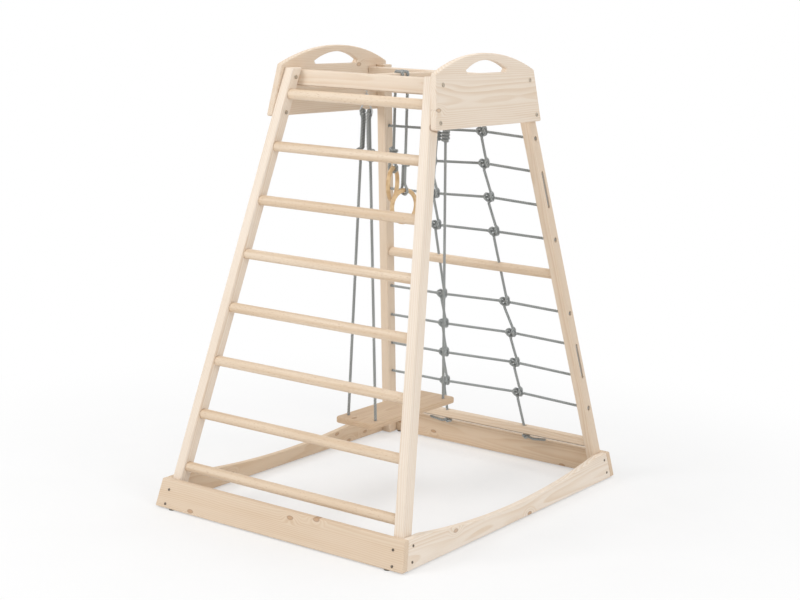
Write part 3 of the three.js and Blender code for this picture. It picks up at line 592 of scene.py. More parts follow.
PALE, AMBER = colour(243, 231, 217), colour(229, 209, 186)
PINE = pine_finish("pine", PALE, AMBER, colour(184, 144, 108), knots_from=0.40)
CLEAR_PINE = pine_finish("clear_pine", PALE, AMBER, colour(206, 176, 144), knots_from=0.93)
SEAT_PINE = pine_finish("seat_pine", colour(218, 195, 168), colour(200, 170, 140), colour(158, 116, 80),
                        knots_from=0.82)
TURNED_PINE = turned_finish("turned_pine", colour(232, 213, 190), colour(217, 193, 165),
                            colour(178, 142, 108))
BEECH = turned_finish("turned_beech", colour(228, 199, 156), colour(206, 172, 127), colour(166, 124, 84))
ROPE_GREY = rope_finish()
ZINC = metal_finish("zinc", colour(214, 217, 219), colour(186, 190, 193), rough=0.26, shine=0.95)
DARK_STEEL = metal_finish("dark_steel", colour(126, 116, 104), colour(96, 87, 77), rough=0.42, shine=0.6)
BRONZED = metal_finish("bronzed_steel", colour(192, 180, 163), colour(164, 152, 136), rough=0.40,
                       shine=0.6)
FELT = felt_finish()
DRILL_SIDES = 28


def drill(start, stop, radius):
    """A rod between two points, to cut a round hole."""
    way = np.subtract(stop, start)
    length = np.linalg.norm(way)
    return turned([(0, 0), (radius, 0), (radius, length), (0, length)], start, way, DRILL_SIDES)


def cut_holes(piece, tools):
    """Cuts the tools, which may cross one another, out of a finished board or post."""
    tool = mesh_object("holes", together(tools))
    cutting = piece.modifiers.new("holes", "BOOLEAN")
    cutting.object, cutting.solver, cutting.operation, cutting.use_self = tool, "EXACT", "DIFFERENCE", True
    graph = bpy.context.evaluated_depsgraph_get()
    drilled = bpy.data.meshes.new_from_object(piece.evaluated_get(graph))
    piece.modifiers.clear()
    blank = piece.data
    piece.data = drilled
    bpy.data.meshes.remove(blank)
    bpy.data.objects.remove(tool)


def mesh_object(name, form):
    """A mesh object from a shell."""
    mesh = bpy.data.meshes.new(name)
    quads, tris = form["quads"], form["tris"]
    mesh.vertices.add(len(form["points"]))
    mesh.vertices.foreach_set("co", form["points"].astype(np.float32).ravel())
    mesh.loops.add(4 * len(quads) + 3 * len(tris))
    mesh.loops.foreach_set("vertex_index", np.concatenate([quads.ravel(), tris.ravel()]).astype(np.int32))
    mesh.polygons.add(len(quads) + len(tris))
    starts = np.concatenate([4 * np.arange(len(quads)), 4 * len(quads) + 3 * np.arange(len(tris))])
    mesh.polygons.foreach_set("loop_start", starts.astype(np.int32))
    if form["maps"][0] is not None:
        layer = mesh.uv_layers.new(name="lay")
        layer.data.foreach_set("uv", np.concatenate([m.ravel() for m in form["maps"]]).astype(np.float32))
    mesh.update(calc_edges=True)
    mesh.validate()
    thing = bpy.data.objects.new(name, mesh)
    bpy.context.collection.objects.link(thing)
    return thing


# How little and how much a piece's grain is moved along, across and from its pith, the darkest of
# its random tones, and the angle from which an edge is sharp
SHIFT_LEAST, SHIFT_MOST, DARKEST, SHARP = (0, -0.05, 0.025), (9, 0.05, 0.09), 0.55, math.radians(38)


def make(name, shells, finish, body="tower", stands_for=None, grain=None, tone_and_shade=None, holes=()):
    """Puts a piece into the scene: its finish, the grain's place at each point, the body that
    carries it and the node that it stands for."""
    piece = mesh_object(name, together(shells) if isinstance(shells, list) else shells)
    if holes:
        cut_holes(piece, holes)
    mesh = piece.data
    mesh.polygons.foreach_set("use_smooth", np.ones(len(mesh.polygons), bool))
    mesh.set_sharp_from_angle(angle=SHARP)
    shift = draws.uniform(SHIFT_LEAST, SHIFT_MOST)
    # A random tone of the piece's own, or a given darkening, which on back and inner pieces is partly
    # painted shade
    shade = draws.uniform(0, DARKEST) if tone_and_shade is None else tone_and_shade
    if grain is not None:
        along = unit(np.asarray(grain[0], float))
        across = unit(grain[1] - along * (along @ grain[1]))
        points = np.empty(3 * len(mesh.vertices), np.float32)
        mesh.vertices.foreach_get("co", points)
        points = points.reshape(-1, 3)
        middle = (points.min(0) + points.max(0)) / 2
        placed = (points - middle) @ np.stack([along, across, np.cross(along, across)]).T + shift
        mesh.attributes.new("grain", "FLOAT_VECTOR", "POINT").data.foreach_set(
            "vector", placed.astype(np.float32).ravel())
        mesh.attributes.new("tone_and_shade", "FLOAT", "POINT").data.foreach_set(
            "value", np.full(len(points), shade, np.float32))
    mesh.materials.clear()
    mesh.materials.append(finish)
    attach(piece, body)
    if stands_for:
        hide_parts(stands_for)
    return piece


# Cords: the swing's and the rings' ropes, with the eye and winding at one end
LINK_EYE, LINK_TAIL, RING_EYE, RING_TAIL = 0.018, 0.007, 0.022, 0.008
TURN_STEPS, LINE_STEP = 44, 0.003


def eyed(standing, centre, bar, bar_radius, reach, wind_start, tail):
    """A rope that leaves its standing part, goes half round a bar, comes back beside itself, winds
    round itself as a helix of the turn pitch, and ends in a straight tail."""
    along = unit(standing[-1] - centre)
    side = unit(np.cross(along, bar))
    out = unit(np.cross(side, along))
    eye = bar_radius + ROPE + EYE_SLACK

    def place(height, sideways, outwards=0.0):
        return centre + np.multiply.outer(height, along) + np.multiply.outer(sideways, side) \
            + np.multiply.outer(outwards, out)

    def wound(arc, height):
        return place(height, WINDING * np.cos(arc / WINDING), WINDING * np.sin(arc / WINDING))

    share = np.linspace(0, 1, 17)[1:]
    half = np.linspace(0, math.pi, 25)[1:]
    rise = TURN_PITCH / (2 * math.pi * WINDING)
    bow = np.linspace(0, math.pi / 2 - math.atan(rise), 9)[1:]
    bowed_arc, bowed = WINDING_BEND * (1 - np.cos(bow)), wind_start + WINDING_BEND * np.sin(bow)
    arc = np.linspace(0, WINDS * 2 * math.pi * WINDING, WINDS * TURN_STEPS + 1)[1:]
    parts = [standing, place(reach, 0.0)[None], place(reach * (1 - share), -eye * eased(share)),
             place(-eye * np.sin(half), -eye * np.cos(half)),
             place(reach * share, eye + (WINDING - eye) * eased(share))]
    if wind_start > reach:
        parts.append(place(wind_start, WINDING)[None])
    parts += [wound(bowed_arc, bowed), wound(bowed_arc[-1] + arc, bowed[-1] + arc * rise)]
    route = np.concatenate(parts)
    return np.concatenate([route, [route[-1] + tail * unit(route[-1] - route[-2])]])


def declared(name, node, body, route):
    """A free rope piece made along its route for its body and node; the route is also stepped into a line
    and places that nothing uses.
    """
    piece = make(name, rope(route), ROPE_GREY, body, node)
    line, places = stepped(route, LINE_STEP)
    return piece


# Knots: how far their rope runs from the axis, its wave, and its radius when pulled tight
FOOT_KNOT, SEAT_KNOT = (0.0074, 0.0036, 0.0042), (0.0045, 0.0022, 0.0036)
LACE_KNOT = (0.0030, 0.0012, 0.0025)
KNOT_WAVES, KNOT_RISE, KNOT_STEP, KNOT_END = 1.5, 1.3, 0.0015, 0.4


def knot(middle, axis, radius, wave, rope_radius):
    """A pulled-tight stopper knot: a rope goes twice round the axis while its distance from it and
    its height follow a wave of three half turns."""
    axis, one, two = crosswise(axis)
    turn = np.linspace(0, 4 * math.pi, 181)[:, None]
    away = radius + wave * np.cos(KNOT_WAVES * turn)
    route = np.asarray(middle) + away * (np.cos(turn) * one + np.sin(turn) * two) \
        + KNOT_RISE * wave * np.sin(KNOT_WAVES * turn) * axis
    return rope(route, rope_radius, KNOT_STEP, KNOT_END)


# Each end of the swing, its side, and where the windings of its ropes start above the link's foot
SWING_ENDS = (("front", -1, 0.099), ("back", 1, 0.066))
place_camera()
for end, sy, wind_start in SWING_ENDS:
    for hand, sx in (("left", -1), ("right", 1)):
        foot = np.array([sx * SEAT_HOLE_X, sy * SEAT_HOLE_Y, 0])
        start = foot + SEAT_KNOT_Z * UP
        ties = make(f"seat_knot_{end}_{hand}", knot(start, UP, *SEAT_KNOT), ROPE_GREY, "swing")
        link = np.array([sx * STRAND_X, sy * HOOK_Y, LINK_Z])
        route = eyed(np.array([start, foot + SEAT_TOP * UP]), link, sx * ACROSS, STEEL, LINK_EYE,
                     wind_start, LINK_TAIL)
        declared(f"swing_cord_{end}_{hand}", f"swing_rope_{end}_{hand}", "swing", route)

# Each ring's side, the height of its rope's eye, its turn from the depth, where its winding starts,
# and the slant of its grain
RING_ROPES = {"left": (-1, 0.9995, math.radians(19), 0.022),
              "right": (1, 0.9372, math.radians(-13), 0.066)}
HOOP_STEPS, TUBE_STEPS, RING_GRAIN = 110, 30, 0.3
for hand, (sx, eye_z, twist, wind_start) in RING_ROPES.items():
    top = np.array([sx * LASH_SIDE, RING_Y, ROPE_HINGE_Z])
    tangent = np.array([math.sin(twist), -math.cos(twist), 0])
    centre = np.array([top[0], top[1], eye_z])
    route = eyed(top[None], centre, -tangent, RING_TUBE, RING_EYE, wind_start, RING_TAIL)
    declared(f"ring_cord_{hand}", f"ring_rope_{hand}", f"{hand}_rope", route)
    tube, turn = np.meshgrid(np.arange(TUBE_STEPS) / TUBE_STEPS * 2 * math.pi,
                             np.arange(HOOP_STEPS) / HOOP_STEPS * 2 * math.pi)
    away = (RING + RING_TUBE * np.cos(tube))[..., None]
    hoop = centre - RING * UP + away * (np.cos(turn)[..., None] * tangent + np.sin(turn)[..., None] * UP) \
        + (RING_TUBE * np.sin(tube))[..., None] * np.cross(tangent, UP)
    faces = woven(HOOP_STEPS, TUBE_STEPS, True)
    make(f"ring_hoop_{hand}", shell(hoop.reshape(-1, 3), faces, np.zeros((0, 3), int)), BEECH,
         f"{hand}_ring", f"ring_{hand}",
         grain=(tangent + RING_GRAIN * UP, UP - RING_GRAIN * tangent))

# Posts, their sockets and rope holes: how far a cutting rod reaches past the wood, the mouth of a
# groove, and the place and the counterbore of a lacing's end knot
PAST, GROOVE_MOUTH = 0.02, 0.01
LACE_KNOT_UP, LACE_KNOT_IN = 0.007, 0.0050
LACE_BORE, LACE_BORE_IN, LACE_BORE_OUT = 0.0079, 0.0045, 0.03


def lace_knot(z):
    """The middle of a lacing's end knot, sunk in the right post's outer face."""
    return np.array([outer_x(z + LACE_KNOT_UP) - LACE_KNOT_IN, middle_y(z), z])


def groove(sx, low, high):
    """A trough down the outer face between two rows, for the turn of the lacing to lie in."""
    floor = -LACE_SINK - ROPE_HOLE
    corners = [(outer_x(z) + depth, middle_y(z) + side * ROPE_HOLE, z) for z in (low, high)
               for depth, side in ((floor, -1), (GROOVE_MOUTH, -1), (GROOVE_MOUTH, 1), (floor, 1))]
    faces = np.concatenate([woven(2, 4), [(3, 2, 1, 0), (4, 5, 6, 7)]])
    return shell(np.array(corners) * (sx, 1, 1), faces, np.zeros((0, 3), int))


def cross_hole(sx, sy, z, start, stop, radius):
    """A rod through a post along the rungs' way, to cut a socket or a rope hole."""
    return drill((sx * start, sy * middle_y(z), z), (sx * stop, sy * middle_y(z), z), radius)


def post_holes(end, sx, sy):
    """A front post's sockets for the rungs, or a back post's socket for the net rung, rope holes,
    grooves and, on the right, counterbores of the end knots."""
    holes = [cross_hole(sx, sy, z, inner_x(z) - PAST, inner_x(z) + SOCKET_DEEP, RUNG + GAP)
             for z in (RUNGS if end == "front" else [NET_RUNG])]
    for rows in NET_ROWS.values() if end == "back" else []:
        holes += [cross_hole(sx, sy, z, inner_x(z) - PAST, outer_x(z) + PAST, ROPE_HOLE) for z in rows]
        pairs = list(zip(rows, rows[1:]))[1 if sx > 0 else 0::2]
        holes += [groove(sx, low, high) for high, low in pairs]
        if sx > 0:
            holes += [drill(lace_knot(z) - LACE_BORE_IN * ACROSS, lace_knot(z) + LACE_BORE_OUT * ACROSS,
                            LACE_BORE) for z in (rows[0], rows[-1])]
    return holes


SIDES = (("front", -1), ("back", 1))
HANDS = (("right", 1), ("left", -1))
section = rounded([(BASE_X - POST_X, BASE_Y - POST_Y), (BASE_X, BASE_Y - POST_Y), (BASE_X, BASE_Y),
                   (BASE_X - POST_X, BASE_Y)], POST_CORNER, 7)
for end, sy in SIDES:
    for hand, sx in HANDS:
        def post_place(x, y, w, sx=sx, sy=sy):
            z = w + (POST_FOOT + POST_TOP) / 2
            return np.stack([sx * (x - LEAN_X * z), sy * (y - LEAN_Y * z), z], -1)
        # The back posts' greater darkening is painted shade on posts seen from the shaded inside; the
        # front posts keep their own pale tone
        make(f"pine_post_{end}_{hand}", slab([section], POST_TOP - POST_FOOT, POST_EDGE, post_place),
             CLEAR_PINE, stands_for=f"post_{end}_{hand}",
             grain=((-sx * LEAN_X, -sy * LEAN_Y, 1), ACROSS), holes=post_holes(end, sx, sy),
             tone_and_shade=0.06 if end == "front" else 0.6)

# Boards and rails: the outline and what lies across it. Each shoulder of a handle board is rounded
# towards a point a short run up the crown, whose own tiny arc is left out. A hand hole's ends stand a
# lip out and up, with rounded tips
SHOULDER_ROUND, HANDLE_CORNER, HANDLE_STEPS, LEFT_OUT = 0.007, 0.006, 7, 0.0004
SHOULDER_RUN, CROWN_INSET = 0.012, 0.010
HOLE_LIP, HOLE_TIP, HOLE_ROUND, HOLE_INSET, HOLE_STEPS = 0.001, 0.0008, 0.004, 0.003, 41
for hand, sx in HANDS:
    def side_place(y, z, w, sx=sx):
        return np.stack([sx * (outer_x(z) + GAP + BOARD / 2 + w), y, z], -1)
    foot, half = outer_y(POST_FOOT), outer_y(BOARD_TOP)
    ends = rounded([(-half, BOARD_TOP), (-foot, POST_FOOT), (foot, POST_FOOT), (half, BOARD_TOP)],
                   BOARD_CORNER)
    outline = np.concatenate([ends, arc(half - ARCH_INSET, BOARD_TOP, BOARD_TOP - ARCH_DIP)])
    # The left board's greater darkening is painted shade on its inner face, seen in shade; the right board
    # keeps its own tone
    make(f"arched_board_{hand}", slab([outline], BOARD, EDGE, side_place), PINE,
         stands_for=f"base_board_{hand}", grain=(BACK, UP), tone_and_shade=0.05 if sx > 0 else 0.9)

    crown_radius = arc_radius(SHOULDER_HALF, HANDLE_TOP - HANDLE_SHOULDER)
    slope = SHOULDER_HALF / math.sqrt(crown_radius ** 2 - SHOULDER_HALF ** 2)
    run = SHOULDER_RUN * unit(np.array([-1, slope]))
    foot = rounded([(-SHOULDER_HALF, HANDLE_SHOULDER), (-HANDLE_HALF, HANDLE_FOOT),
                    (HANDLE_HALF, HANDLE_FOOT), (SHOULDER_HALF, HANDLE_SHOULDER),
                    (SHOULDER_HALF + run[0], HANDLE_SHOULDER + run[1]),
                    (-SHOULDER_HALF - run[0], HANDLE_SHOULDER + run[1])],
                   [SHOULDER_ROUND, HANDLE_CORNER, HANDLE_CORNER, SHOULDER_ROUND, LEFT_OUT, LEFT_OUT],
                   HANDLE_STEPS)[:4 * HANDLE_STEPS]
    crown = arc(SHOULDER_HALF, HANDLE_SHOULDER, HANDLE_TOP, CROWN_INSET)
    outline = np.concatenate([foot, crown[1:-1]])
    sill = rounded([(-HOLE_HALF - HOLE_LIP, HOLE_END + HOLE_LIP), (-HOLE_HALF + HOLE_CORNER, HOLE_FOOT),
                    (HOLE_HALF - HOLE_CORNER, HOLE_FOOT), (HOLE_HALF + HOLE_LIP, HOLE_END + HOLE_LIP)],
                   [HOLE_TIP, HOLE_ROUND, HOLE_ROUND, HOLE_TIP], 5)
    lintel = arc(HOLE_HALF, HOLE_END, HOLE_TOP, HOLE_INSET, HOLE_STEPS)
    hand_hole = np.concatenate([sill, lintel[1:-1]])
    # The left panel's greater darkening is painted shade on its inner face, seen in shade; the right
    # panel's is mostly its own tone
    make(f"handle_panel_{hand}", slab([outline, hand_hole], BOARD, HANDLE_EDGE, side_place, 6), CLEAR_PINE,
         stands_for=f"handle_board_{hand}", grain=(BACK, UP), tone_and_shade=0.22 if sx > 0 else 0.5)

for end, sy in SIDES:
    def front_place(x, z, w, sy=sy):
        return np.stack([x, sy * (outer_y(z) + GAP + BOARD / 2 + w), z], -1)

    def rail_place(x, z, w, sy=sy):
        return np.stack([x, sy * (inner_y(z) - GAP - RAIL / 2 + w), z], -1)
    outline = tapered(POST_FOOT, BOARD_TOP, lambda z: outer_x(z) + GAP + BOARD, BOARD_CORNER, 6)
    # The straight boards' darkening is their own darker tone, with painted shade added on the back board's
    # inner face, seen in shade
    make(f"straight_board_{end}", slab([outline], BOARD, EDGE, front_place), PINE,
         stands_for=f"base_board_{end}", grain=(ACROSS, UP), tone_and_shade=0.75 if end == "front" else 0.85)
    outline = tapered(RAIL_FOOT, RAIL_TOP, outer_x)
    # The rails' darkening is partly their own tone and partly painted shade inside the tower
    make(f"pine_rail_{end}", slab([outline], RAIL, EDGE, rail_place), CLEAR_PINE,
         stands_for=f"top_rail_{end}", grain=(ACROSS, UP), tone_and_shade=0.5)

outline = tapered(BEAM_FOOT, BEAM_TOP, lambda z: inner_y(z) - 2 * GAP - RAIL)
# The beam's darkening is partly its own tone and partly painted shade on its shaded sides
make("pine_beam", slab([outline], 2 * BEAM_HALF, EDGE, lambda y, z, w: np.stack([w, y, z], -1)), PINE,
     stands_for="centre_beam", grain=(BACK, UP), tone_and_shade=0.6)
bar_y = middle_y((NET_BAR_FOOT + NET_BAR_TOP) / 2)
outline = tapered(NET_BAR_FOOT, NET_BAR_TOP, lambda z: inner_x(z) - GAP)
holes = [drill(*((sx * UPRIGHT_SHARE * inner_x(z), middle_y(z), z)
                 for z in (NET_BAR_FOOT - PAST, NET_BAR_TOP + PAST)), ROPE_HOLE) for sx in (-1, 1)]
# The foot bar's darkening is partly its own tone and partly painted shade low inside the tower
make("net_foot_bar", slab([outline], NET_BAR, NET_BAR_EDGE,
                          lambda x, z, w: np.stack([x, bar_y + w, z], -1)), PINE,
     stands_for="net_bottom_bar", grain=(ACROSS, UP), holes=holes, tone_and_shade=0.7)


RUNG_EDGE, RUNG_SIDES = 0.0012, 44


def rung(name, y, z, node):
    """A round bar from socket to socket, its ends eased by a quarter of a circle."""
    reach = inner_x(z) + SOCKET
    angle = np.linspace(0, math.pi / 2, 4)
    ease = np.stack([RUNG - RUNG_EDGE + RUNG_EDGE * np.sin(angle), RUNG_EDGE * (1 - np.cos(angle))], 1)
    far = ease[::-1] * (1, -1) + (0, 2 * reach)
    profile = np.concatenate([[(0, 0)], ease, far, [(0, 2 * reach)]])
    make(name, turned(profile, (-reach, y, z), ACROSS, RUNG_SIDES), TURNED_PINE, stands_for=node,
         grain=(ACROSS, UP))


for number, z in enumerate(RUNGS, 1):
    rung(f"ladder_rung_{number}", -middle_y(z), z, f"rung_{number}")
rung("net_middle_rung", middle_y(NET_RUNG), NET_RUNG, "net_rung")

# Bolts: a head's radius, the heights of its rim and its crown, how far its dome turns, the half width
# and the floor of its socket, a nut's half width, and the size of the base boards' bolts
HEAD, RIM_HIGH, HEAD_HIGH, DOME_TURN = 0.0065, 0.0009, 0.0026, math.radians(62)
SOCKET_HALF, SOCKET_FLOOR, NUT_HALF, SMALL_BOLT, BOLT_SIDES = 0.0021, 0.0010, 0.0052, 0.62, 48
# Radius and height: a nut with turned corners, and the rounded end of its bolt
NUT_PROFILE = np.array([(0.0054, 0), (0.0062, 0.0005), (0.0062, 0.0025), (0.0054, 0.003), (0.0034, 0.003),
                        (0.0034, 0.0028), (0.0029, 0.0028), (0.0029, 0.0042), (0.0024, 0.0048)])
GLIDE, GLIDE_HIGH, GLIDE_EDGE, GLIDE_X, GLIDE_Y = 0.009, 0.0037, 0.0007, 0.038, 0.0103


def hexagon(half):
    """A hexagon's radius all round: its half width over the cosine of the angle from the middle of
    the nearest flat."""
    angle = np.arange(BOLT_SIDES) * 2 * math.pi / BOLT_SIDES
    return half / np.cos((angle + math.pi / 6) % (math.pi / 3) - math.pi / 6)


def six_sided(seat, direction, heights, radius, top):
    """Rings whose radius changes round the direction, closed on their axis at the seat and at the top."""
    along, one, two = crosswise(direction, UP)
    return risen(seat, along, heights, radius[..., None] * spokes(one, two, BOLT_SIDES), [0, top])


def bolt(seat, direction, size=1.0):
    """A domed head with a six-sided socket. Each ring has a radius, a height and a share of the
    socket's hexagon, and its reach is the radius plus that share."""
    rim = [(HEAD * 0.97, 0, 0), (HEAD, 0.0003, 0), (HEAD, RIM_HIGH, 0)]
    rise = (HEAD_HIGH - RIM_HIGH) / math.sin(DOME_TURN)
    dome = [(HEAD * math.cos(a), RIM_HIGH + rise * math.sin(a), 0)
            for a in np.linspace(0, DOME_TURN, 6)[1:]]
    socket = [(0, HEAD_HIGH, 1.06), (0, HEAD_HIGH - 0.0002, 1), (0, SOCKET_FLOOR + 0.0001, 1),
              (0, SOCKET_FLOOR, 0.9)]
    crown = size * np.array(rim + dome + socket)
    reach = crown[:, :1] + crown[:, 2:] * hexagon(SOCKET_HALF)
    return six_sided(seat, direction, crown[:, 1], reach, size * SOCKET_FLOOR)


def nut(seat, direction):
    """A nut and its bolt's end: a round profile cut off by the hexagon's flats."""
    reach = np.minimum(NUT_PROFILE[:, :1], hexagon(NUT_HALF))
    return six_sided(seat, direction, NUT_PROFILE[:, 1], reach, NUT_PROFILE[-1, 1])


for end, sy in SIDES:
    for hand, sx in HANDS:
        out = np.array([sx, 0, LEAN_X])
        for level, z in HANDLE_BOLTS.items():
            seat = np.array([sx * (outer_x(z) + GAP + BOARD), sy * middle_y(z), z])
            far = seat - unit(out) * (POST_X + BOARD + GAP) / unit(out)[0] * sx
            make(f"panel_bolt_{end}_{hand}_{level}", [bolt(seat, out), nut(far, -out)], BRONZED,
                 stands_for=f"handle_bolt_{end}_{hand}_{level}")
for hand, sx in HANDS:
    seats = [(sx * (outer_x(z) + GAP + BOARD), sy * middle_y(z), z)
             for z in ARCHED_BOARD_BOLTS for sy in (-1, 1)]
    make(f"arched_board_bolts_{hand}", [bolt(seat, (sx, 0, LEAN_X), SMALL_BOLT) for seat in seats],
         DARK_STEEL)
for end, sy in SIDES:
    seats = [(sx * (outer_x(z) - POST_X / 2), sy * (outer_y(z) + GAP + BOARD), z)
             for z in STRAIGHT_BOARD_BOLTS for sx in (-1, 1)]
    make(f"straight_board_bolts_{end}", [bolt(seat, (0, sy, LEAN_Y), SMALL_BOLT) for seat in seats],
         DARK_STEEL)
    for hand, sx in HANDS:
        def glide_place(x, y, w, sx=sx, sy=sy):
            return np.stack([sx * (outer_x(POST_FOOT) - GLIDE_X) + x,
                             sy * (outer_y(POST_FOOT) + GLIDE_Y) + y, w + GLIDE_HIGH / 2], -1)
        make(f"felt_glide_{end}_{hand}", slab([circle(GLIDE, 40)], GLIDE_HIGH, GLIDE_EDGE, glide_place),
             FELT, stands_for=f"glide_{end}_{hand}")

# Net: row ropes laced through the posts, and uprights hitched round each of them
# For each row, how far aside of a straight line the left and the right upright hold it, and how far
# above its holes
HELD = {1.0925: ((0.004, 0.003), (-0.003, 0.009)), 0.989: ((0.006, 0.003), (-0.011, 0.012)),
        0.8855: ((0.008, 0.001), (-0.011, 0.009)), 0.782: ((0.006, 0), (-0.010, 0.003)),
        0.5485: ((0.011, 0), (-0.008, 0.007)), 0.445: ((0.009, 0), (-0.001, 0.007)),
        0.3415: ((0.003, 0), (-0.003, 0.009)), 0.238: ((-0.001, 0), (-0.007, 0.009))}
LACE_BEND, ROW_BEND = 0.005, 0.04
# A hitch: the radius of its turns, the lift of its slanting part, the length of its lead, how far
# aside the lead and the outer turns run, and the steps of its turns
AROUND, LIFT, LEAD, LEAD_ASIDE, TURN_ASIDE, HITCH_STEPS = 0.0105, 0.0095, 0.022, -0.0058, 0.0128, 97
# An upright's end above its first row, and its tail under the bar, by how far aside and how far down
TOP_END, TAILS, TAIL_BEND, UPRIGHT_STEP = 0.042, ((0.026, 0.006), (0.070, 0.001)), 0.006, 0.0017


def upright_at(sx, z):
    """Where an upright crosses a height: at its share of the half width, held aside and up."""
    aside, above = HELD.get(z, ((0, 0), (0, 0)))[sx > 0]
    z = z + above
    return np.array([sx * UPRIGHT_SHARE * inner_x(z) + aside, middle_y(z), z])


for part, rows in NET_ROWS.items():
    corners, bends = [lace_knot(rows[0])], [0]
    for index, z in enumerate(rows):
        sides = (1, -1) if index % 2 == 0 else (-1, 1)
        turns = [(side * (outer_x(z) - LACE_SINK), middle_y(z), z) for side in sides]
        if index > 0:
            corners.append(turns[0])
            bends.append(LACE_BEND)
        corners += [upright_at(side, z) for side in sides]
        bends += [ROW_BEND, ROW_BEND]
        if index < len(rows) - 1:
            corners.append(turns[1])
            bends.append(LACE_BEND)
    corners.append(lace_knot(rows[-1]))
    parts = [rope(bent(corners, bends + [0]))]
    parts += [knot(lace_knot(z), ACROSS, *LACE_KNOT) for z in (rows[0], rows[-1])]
    make(f"net_lacing_{part}", parts, ROPE_GREY, stands_for=f"net_rope_{part}")


def hitched(line, crossings, out):
    """A rope down a straight line that takes two turns round each rope it meets: in a turn its height
    and its distance out are the cosine and the sine of the angle times the radius, and the middle
    crossing runs slantwise over the others, lifted by half (1 + cos 1.25 (angle - 2.5 pi))."""
    route = [line[0]]
    down = unit(line[1] - line[0])
    share = np.linspace(0, 1, 12)[:-1, None]
    sideways = unit(np.cross(out, down))
    turn = np.linspace(0.5, 4.5, HITCH_STEPS)[:, None] * math.pi
    over = np.clip(1.25 * (turn - 2.5 * math.pi), -math.pi, math.pi)
    away = AROUND + LIFT * (1 + np.cos(over)) / 2
    aside = np.interp(turn, np.array([0.5, 1.5, 2.5, 3.5, 4.5]) * math.pi,
                      [LEAD_ASIDE, -TURN_ASIDE, 0, TURN_ASIDE, -LEAD_ASIDE])
    aside[2:-2] = (aside[:-4] + aside[1:-3] + aside[2:-2] + aside[3:-1] + aside[4:]) / 5
    hitch = aside * sideways + away * (np.sin(turn) * out - np.cos(turn) * down)
    for crossing in crossings:
        start, stop = crossing + LEAD_ASIDE * sideways, crossing - LEAD_ASIDE * sideways
        lead = start - down * LEAD * (1 - share) + eased(share) * AROUND * out
        leave = stop + down * LEAD * share + (1 - eased(share)) * AROUND * out
        route.extend([*lead, *(crossing + hitch), *leave[1:], stop + down * LEAD])
    return np.array(route + list(line[1:]))


for hand, sx in HANDS:
    stopper = upright_at(sx, NET_BAR_FOOT - GAP - KNOT_REACH)
    line = np.array([upright_at(sx, NET_ROWS["upper"][0] + TOP_END), stopper])
    route = hitched(line, [upright_at(sx, z) for rows in NET_ROWS.values() for z in rows], BACK)
    tail = [stopper + sx * aside * ACROSS - down * UP for aside, down in TAILS]
    foot_path = bent([route[-2], stopper, *tail], TAIL_BEND)
    route = np.concatenate([route[:-1], foot_path[1:]])
    make(f"net_hitches_{hand}", [rope(route, step=UPRIGHT_STEP), knot(stopper, UP, *FOOT_KNOT)], ROPE_GREY,
         stands_for=f"net_upright_{hand}")

# Swing: an eye's middle, its ring's radius, degrees and bend, and its shank from top to foot; its
# collar as radius and height; the bends of a link; a seat hole with its counterbore as radius
# and height
EYE_Z, EYE_RING, EYE_ARC, EYE_BEND, SHANK = 1.216, 0.009, (65, -251, -22.5), 0.0028, (0.044, 0.0095)
COLLAR_TOP, COLLAR = 1.2358, [(0, 0), (0.006, 0), (0.006, 0.0013), (0.0048, 0.0019), (0, 0.0019)]
LINK_HIGH, LINK_BEND, LINK_TOP_BEND = HINGE_Z - LINK_Z, 0.0045, 0.0053
BORE_FOOT, BORE = 0.24, [(0, 0), (0.0116, 0), (0.0116, 0.0257), (ROPE_HOLE, 0.0257), (ROPE_HOLE, 0.06),
                         (0, 0.06)]
for end, sy in SIDES:
    hook = np.array([0, sy * HOOK_Y, EYE_Z])
    shank = [hook + height * UP for height in SHANK]
    loop = [hook + EYE_RING * (math.cos(a) * BACK + math.sin(a) * UP)
            for a in np.radians(np.arange(*EYE_ARC))]
    collar = turned(COLLAR, (0, sy * HOOK_Y, COLLAR_TOP), -UP)
    make(f"beam_eye_{end}", [wire(bent(shank + loop, EYE_BEND, 6), STEEL), collar], ZINC,
         stands_for=f"screw_eye_{end}")
    leg = math.atan2(LINK_HALF, LINK_HIGH) - math.asin(LINK_TOP_BEND / math.hypot(LINK_HALF, LINK_HIGH))
    apex = LINK_Z + LINK_HALF / math.tan(leg)
    corners = [(0, LINK_Z), (LINK_HALF, LINK_Z), (0, apex), (-LINK_HALF, LINK_Z), (0, LINK_Z)]
    path = bent([(x, sy * HOOK_Y, z) for x, z in corners], [0, LINK_BEND, LINK_TOP_BEND, LINK_BEND, 0], 14)
    make(f"steel_link_{end}", wire(path, STEEL, endless=True, first=BACK), ZINC, "swing",
         f"swing_link_{end}")
outline = rounded([(-SEAT_HALF_X, -SEAT_HALF_Y), (SEAT_HALF_X, -SEAT_HALF_Y), (SEAT_HALF_X, SEAT_HALF_Y),
                   (-SEAT_HALF_X, SEAT_HALF_Y)], SEAT_CORNER, 12)
holes = [turned(BORE, (sx * SEAT_HOLE_X, sy * SEAT_HOLE_Y, BORE_FOOT), UP, DRILL_SIDES)
         for sx in (-1, 1) for sy in (-1, 1)]
make("seat_plank", slab([outline], SEAT_THICK, SEAT_EDGE, lambda x, y, w: np.stack(
    [x, y, w + SEAT_TOP - SEAT_THICK / 2], -1), 6), SEAT_PINE, "swing", "swing_seat",
    grain=(BACK, ACROSS), tone_and_shade=0.3, holes=holes)

